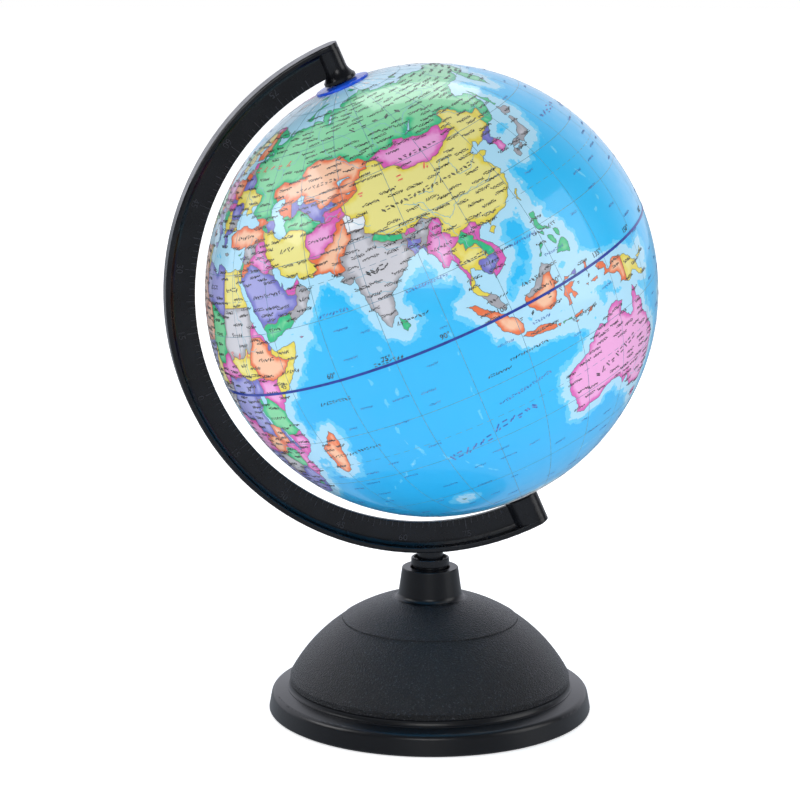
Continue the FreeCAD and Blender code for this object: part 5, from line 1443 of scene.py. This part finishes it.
# ---- the arm's scale ---------------------------------------------------------------------
class ScaleFace:
    """The raised marks on one face of the arm; side is -1 in front and 1 behind."""

    def __init__(self, side):
        self.side = side
        self.tops = []
        self.lows = []
        self.faces = []

    def arm_point(self, radius, degrees, relief):
        """Point at an angle round the ball's centre from +X towards +Z."""
        turn = math.radians(degrees)
        height = self.side * (ARM_FACE + relief)
        return CENTRE + Vector((radius * math.cos(turn), height, radius * math.sin(turn)))

    def add(self, places, faces, degrees):
        """Adds raised faces at an angle; places are (radius, radians further round the ring)."""
        first = len(self.tops)
        for radius, along in places:
            angle = degrees - self.side * math.degrees(along)
            self.tops.append(self.arm_point(radius, angle, SCALE_RELIEF))
            self.lows.append(self.arm_point(radius, angle, -SCALE_ROOT))
        self.faces += [tuple(first + i for i in face) for face in faces]

    def add_tick(self, end, degrees):
        """Adds a straight mark out to a radius."""
        corners = ((TICK_START, -1), (TICK_START, 1), (end, 1), (end, -1))
        places = [(radius, sign * TICK_WIDTH / 2 / radius) for radius, sign in corners]
        self.add(places, [(0, 1, 2, 3)], degrees)

    def add_numeral(self, shown, degrees):
        """Adds a number with its top towards the ball's centre."""
        points, faces = text_shape(shown, NUMERAL_HEIGHT)
        self.add([(NUMERAL_RADIUS - y, x / NUMERAL_RADIUS) for x, y in points], faces, degrees)

    def piece(self, name):
        """The marks as one object."""
        outward = [Vector((0, self.side, 0))] * len(self.tops)
        made = shell_piece(name, self.faces, self.tops, self.lows, outward, "arm")
        made.data.materials.append(plain_finish(**SHEEN_SCALE))


def make_arm_scale():
    """Raised ticks every degree and a half, and a number every 15 degrees, on both faces."""
    for side, name in ((-1, "arm_scale_front"), (1, "arm_scale_back")):
        scale = ScaleFace(side)
        for step in range(-SCALE_STEPS, SCALE_STEPS + 1):
            angle = EQUATOR_ANGLE - step * SCALE_STEP_DEG
            kind = max(every for every in TICK_ENDS if step % every == 0)
            scale.add_tick(TICK_ENDS[kind], angle)
            if step % NUMERAL_EVERY == 0 and abs(step) < NUMERAL_STEPS:
                scale.add_numeral(str(abs(round(step * SCALE_STEP_DEG))), angle)
        scale.piece(name)


# ---- materials ---------------------------------------------------------------------------
def linear(text):
    """Linear colour from a "#RRGGBB" value, by the sRGB curve."""
    channels = []
    for place in (1, 3, 5):
        value = int(text[place:place + 2], 16) / 255
        channels.append(value / 12.92 if value <= 0.04045 else ((value + 0.055) / 1.055) ** 2.4)
    return (*channels, 1.0)


def feed(tree, value, socket):
    """Links a socket to another, or sets it to a constant."""
    if isinstance(value, bpy.types.NodeSocket):
        tree.links.new(value, socket)
    else:
        socket.default_value = value


def new_node(tree, kind, inputs, **properties):
    """Adds a node; each input is a socket to link or a constant."""
    added = tree.nodes.new(kind)
    for name, value in properties.items():
        setattr(added, name, value)
    for key, value in inputs.items():
        feed(tree, value, added.inputs[key])
    return added


class Finish:
    """A principled material and short ways to add the nodes that feed it."""

    def __init__(self, name, **settings):
        self.material = bpy.data.materials.new(name)
        self.material.use_nodes = True
        self.tree = self.material.node_tree
        self.shader = self.tree.nodes["Principled BSDF"]
        for socket, value in settings.items():
            self.shader.inputs[socket.replace("_", " ")].default_value = value
        self.place = self.tree.nodes.new("ShaderNodeTexCoord").outputs["Object"]

    def noise(self, size, detail=3.0, roughness=0.5):
        """Noise from 0 to 1 with features of a size in metres."""
        inputs = {"Vector": self.place, "Scale": 1 / size, "Detail": detail, "Roughness": roughness}
        return new_node(self.tree, "ShaderNodeTexNoise", inputs).outputs["Fac"]

    def math(self, operation, first, second):
        """One arithmetic step."""
        inputs = {0: first, 1: second}
        return new_node(self.tree, "ShaderNodeMath", inputs, operation=operation).outputs[0]

    def span(self, value, low, high, to_low=0.0, to_high=1.0):
        """Maps a range of values to another smoothly, and clamps it."""
        inputs = {"Value": value, "From Min": low, "From Max": high, "To Min": to_low, "To Max": to_high}
        added = new_node(self.tree, "ShaderNodeMapRange", inputs, interpolation_type="SMOOTHSTEP")
        return added.outputs["Result"]

    def blend(self, factor, first, second):
        """Mixes two colours, each a socket or a "#RRGGBB" value."""
        first, second = (linear(c) if isinstance(c, str) else c for c in (first, second))
        inputs = {0: factor, 6: first, 7: second}
        return new_node(self.tree, "ShaderNodeMix", inputs, data_type="RGBA").outputs[2]

    def attribute(self, name):
        """A value stored on the mesh."""
        return new_node(self.tree, "ShaderNodeAttribute", {}, attribute_name=name).outputs["Fac"]

    def axis(self, letter):
        """One object coordinate in metres."""
        return new_node(self.tree, "ShaderNodeSeparateXYZ", {0: self.place}).outputs[letter]

    def set(self, socket, value):
        """Links a value to the shader."""
        self.tree.links.new(value, self.shader.inputs[socket])

    def bump(self, height, depth):
        """Bumps the surface by a height map times a depth in metres."""
        inputs = {"Height": height, "Distance": depth, "Strength": 1.0}
        self.set("Normal", new_node(self.tree, "ShaderNodeBump", inputs).outputs["Normal"])


def printed_finish(name):
    """The lacquered print that the whole ball has, with a faint waviness."""
    finish = Finish(name, Specular_IOR_Level=0.5, Coat_Weight=0.7, Coat_Roughness=0.06)
    patches = finish.noise(PRINT_GLOSS_SIZE)
    finish.set("Roughness", finish.span(patches, *NOISE_MIDDLE, *PRINT_GLOSS_RANGE))
    finish.bump(finish.noise(PRINT_WAVE_SIZE, 1.0), PRINT_WAVE_DEPTH)
    return finish


def ragged_shade(finish, size, detail, reach):
    """The mesh's shade value, pushed up and down by noise so that its edges aren't even."""
    ragged = finish.span(finish.noise(size, detail, 0.6), *NOISE_MOST, -reach, reach)
    return finish.math("ADD", finish.attribute("shade"), ragged)


def sea_material():
    """Deep blue, paler over the shelf along the coasts and faintly so over the ridges, and lighter towards
    the top of the ball as painted light from above.
    """
    finish = printed_finish("print_sea")
    depth = ragged_shade(finish, **SEA_RAGGED)
    # the blues turn lighter with height on the ball: painted light from above
    north = finish.span(finish.axis("Z"), CENTRE.z - BALL_RADIUS, CENTRE.z + 0.5 * BALL_RADIUS)
    deep, slope, shallow = (finish.blend(north, *SEA_INKS[zone]) for zone in ("deep", "slope", "shallow"))
    near = finish.blend(finish.span(depth, *SHALLOW_END), shallow, slope)
    finish.set("Base Color", finish.blend(finish.span(depth, *SLOPE_END), near, deep))
    return finish.material


def land_material(colour):
    """Stronger along a country's edge and paler inside, as printed maps are."""
    finish = printed_finish("print_" + colour)
    inland = ragged_shade(finish, **LAND_RAGGED)
    finish.set("Base Color", finish.blend(finish.span(inland, *LAND_FADE), *LAND_INKS[colour]))
    return finish.material


def ink_material(name, colour):
    """A thin printed ink, slightly uneven."""
    finish = Finish(name + "_ink", Roughness=0.4, Coat_Weight=0.5, Coat_Roughness=0.1)
    thin = finish.span(finish.noise(INK_PATCH_SIZE), *INK_THINNING)
    finish.set("Base Color", finish.blend(thin, colour, "#FFFFFF"))
    return finish.material


def plain_finish(name, colours, cloud, bump, depth, cloud_range=None, gloss=None, gloss_range=None,
                 **settings):
    """Two colours that change in clouds, a fine bump and, where gloss is given, uneven gloss."""
    finish = Finish(name, **settings)
    patches = finish.noise(*cloud)
    if cloud_range:
        patches = finish.span(patches, *cloud_range)
    finish.set("Base Color", finish.blend(patches, *colours))
    if gloss:
        finish.set("Roughness", finish.span(finish.noise(gloss), *NOISE_MIDDLE, *gloss_range))
    finish.bump(finish.noise(*bump), depth)
    return finish.material


def base_material():
    """Black plastic, smooth on the flange and with a bumped grain on the dome and cap, whose glints are
    painted in as lighter specks.
    """
    finish = Finish("base_grained_plastic", Specular_IOR_Level=0.5)
    height = finish.axis("Z")
    above_flange = finish.span(height, *GRAIN_START)
    below_neck = finish.span(height, *GRAIN_STOP, 1.0, 0.0)
    on_dome = finish.math("MULTIPLY", above_flange, below_neck)
    grain = finish.noise(*GRAIN_NOISE)
    # lighter specks in the colour where the grain noise is high: painted glints of the grain
    painted_glint_speck = finish.math("MULTIPLY", finish.span(grain, *GLINT_SPECK_RANGE), on_dome)
    finish.set("Base Color", finish.blend(painted_glint_speck, *BASE_AND_GLINT_COLOURS))
    finish.set("Roughness", finish.span(on_dome, 0.0, 1.0, *BASE_ROUGHNESS))
    relief = finish.math("MULTIPLY", grain, on_dome)
    peel = finish.math("MULTIPLY", finish.noise(*PEEL_NOISE), PEEL_SHARE)
    finish.bump(finish.math("ADD", relief, peel), GRAIN_DEPTH)
    return finish.material


def finish_frame_nodes():
    """Gives every CAD node that stays in view its material, by the record's slots."""
    finishes = {slot: plain_finish(**values) for slot, values in PLAIN_FINISHES.items()}
    finishes["base_plastic"] = base_material()
    for name, holder in frame["nodes"].items():
        holder.data.materials.clear()
        holder.data.materials.append(finishes[NODE_SLOTS[name]])


# ---- camera, floor and light -------------------------------------------------------------
def make_camera():
    """The camera of a product photograph: far off, above the ball, a little to the left."""
    data = bpy.data.cameras.new("camera")
    data.lens = CAMERA_LENS
    data.sensor_width = CAMERA_SENSOR
    data.clip_end = CAMERA_REACH
    turn = math.radians(CAMERA_AZIMUTH)
    place = Vector((CAMERA_DISTANCE * math.sin(turn), -CAMERA_DISTANCE * math.cos(turn), CAMERA_HEIGHT))
    heading = math.radians(CAMERA_AZIMUTH + CAMERA_YAW)
    pitch = math.radians(CAMERA_PITCH)
    level = Vector((-math.sin(heading), math.cos(heading), 0))
    ahead = level * math.cos(pitch) + Vector((0, 0, math.sin(pitch)))
    right = Vector((math.cos(heading), math.sin(heading), 0))
    axes = Matrix((right, right.cross(ahead), -ahead)).transposed().to_4x4()
    roll = Matrix.Rotation(math.radians(CAMERA_ROLL), 4, "Z")
    holder = bpy.data.objects.new("camera", data)
    holder.matrix_world = Matrix.Translation(place) @ axes @ roll
    bpy.context.scene.collection.objects.link(holder)
    bpy.context.scene.camera = holder


def make_floor():
    """A wide pale floor."""
    mesh = bpy.data.meshes.new("floor")
    verts = [(0, 0, 0)]
    faces = []
    for ring, radius in enumerate(FLOOR_RINGS):
        first = len(verts)
        for side in range(FLOOR_SIDES):
            turn = math.tau * side / FLOOR_SIDES
            verts.append((radius * math.cos(turn), radius * math.sin(turn), 0))
            outer = (first + side, first + (side + 1) % FLOOR_SIDES)
            if ring == 0:
                faces.append((0, *outer))
            else:
                faces.append((outer[0] - FLOOR_SIDES, *outer, outer[1] - FLOOR_SIDES))
    mesh.from_pydata(verts, [], faces)
    floor = bpy.data.objects.new("floor", mesh)
    bpy.context.scene.collection.objects.link(floor)
    mesh.materials.append(floor_material())


def floor_material():
    """Pale matt floor; glossy rays see it dimmer, as a floor that falls off into the dark."""
    finish = Finish("floor_white", Roughness=0.6, Specular_IOR_Level=0.2,
                    Emission_Color=linear("#FFFFFF"), Emission_Strength=FLOOR_GLOW)
    finish.set("Base Color", finish.blend(finish.noise(FLOOR_CLOUD), "#F6F6F6", "#FAFAFA"))
    inputs = {"Color": linear("#DCE4F0"), "Strength": FLOOR_IN_GLOSS}
    dim = new_node(finish.tree, "ShaderNodeEmission", inputs)
    path = new_node(finish.tree, "ShaderNodeLightPath", {})
    inputs = {0: path.outputs["Is Glossy Ray"], 1: finish.shader.outputs[0], 2: dim.outputs[0]}
    mix = new_node(finish.tree, "ShaderNodeMixShader", inputs)
    output = finish.tree.nodes["Material Output"]
    finish.tree.links.new(mix.outputs[0], output.inputs["Surface"])
    return finish.material


def make_world():
    """White to the camera, even light on matt surfaces, and a dim room with a pale wall in gloss."""
    world = bpy.data.worlds.new("studio")
    world.use_nodes = True
    tree = world.node_tree
    tree.nodes.remove(tree.nodes["Background"])
    path = new_node(tree, "ShaderNodeLightPath", {})
    ray = new_node(tree, "ShaderNodeTexCoord", {})
    split = new_node(tree, "ShaderNodeSeparateXYZ", {0: ray.outputs["Generated"]})
    inputs = {"Value": split.outputs["Y"], **FAR_WALL}
    wall = new_node(tree, "ShaderNodeMapRange", inputs, interpolation_type="SMOOTHSTEP")
    room = {"Color": linear("#F4F7FC"), "Strength": ROOM_STRENGTH}
    surface = new_node(tree, "ShaderNodeBackground", room).outputs[0]
    for kind, colour, strength in (("Is Glossy Ray", "#F2F4FF", wall.outputs["Result"]),
                                   ("Is Camera Ray", "#FFFFFF", 1.0)):
        light = new_node(tree, "ShaderNodeBackground", {"Color": linear(colour), "Strength": strength})
        inputs = {0: path.outputs[kind], 1: surface, 2: light.outputs[0]}
        surface = new_node(tree, "ShaderNodeMixShader", inputs).outputs[0]
    tree.links.new(surface, tree.nodes["World Output"].inputs["Surface"])
    bpy.context.scene.world = world


def make_lights():
    """Soft rectangular lights, each aimed at the ball's centre."""
    for name, (place, size, power) in LIGHTS.items():
        data = bpy.data.lights.new(name, "AREA")
        data.shape = "RECTANGLE"
        data.size, data.size_y = size
        data.energy = power
        holder = bpy.data.objects.new(name, data)
        holder.location = place
        holder.rotation_euler = (CENTRE - Vector(place)).to_track_quat("-Z", "Y").to_euler()
        bpy.context.scene.collection.objects.link(holder)


# ---- the scene ---------------------------------------------------------------------------
rng = random.Random(RANDOM_SEED)
bpy.context.scene.view_settings.view_transform = "Standard"
make_camera()
make_world()
make_floor()
make_lights()
finish_frame_nodes()
printed_map = PrintedMap()
make_colour_patches(printed_map)
make_lines(printed_map)
make_names(printed_map)
make_arm_scale()
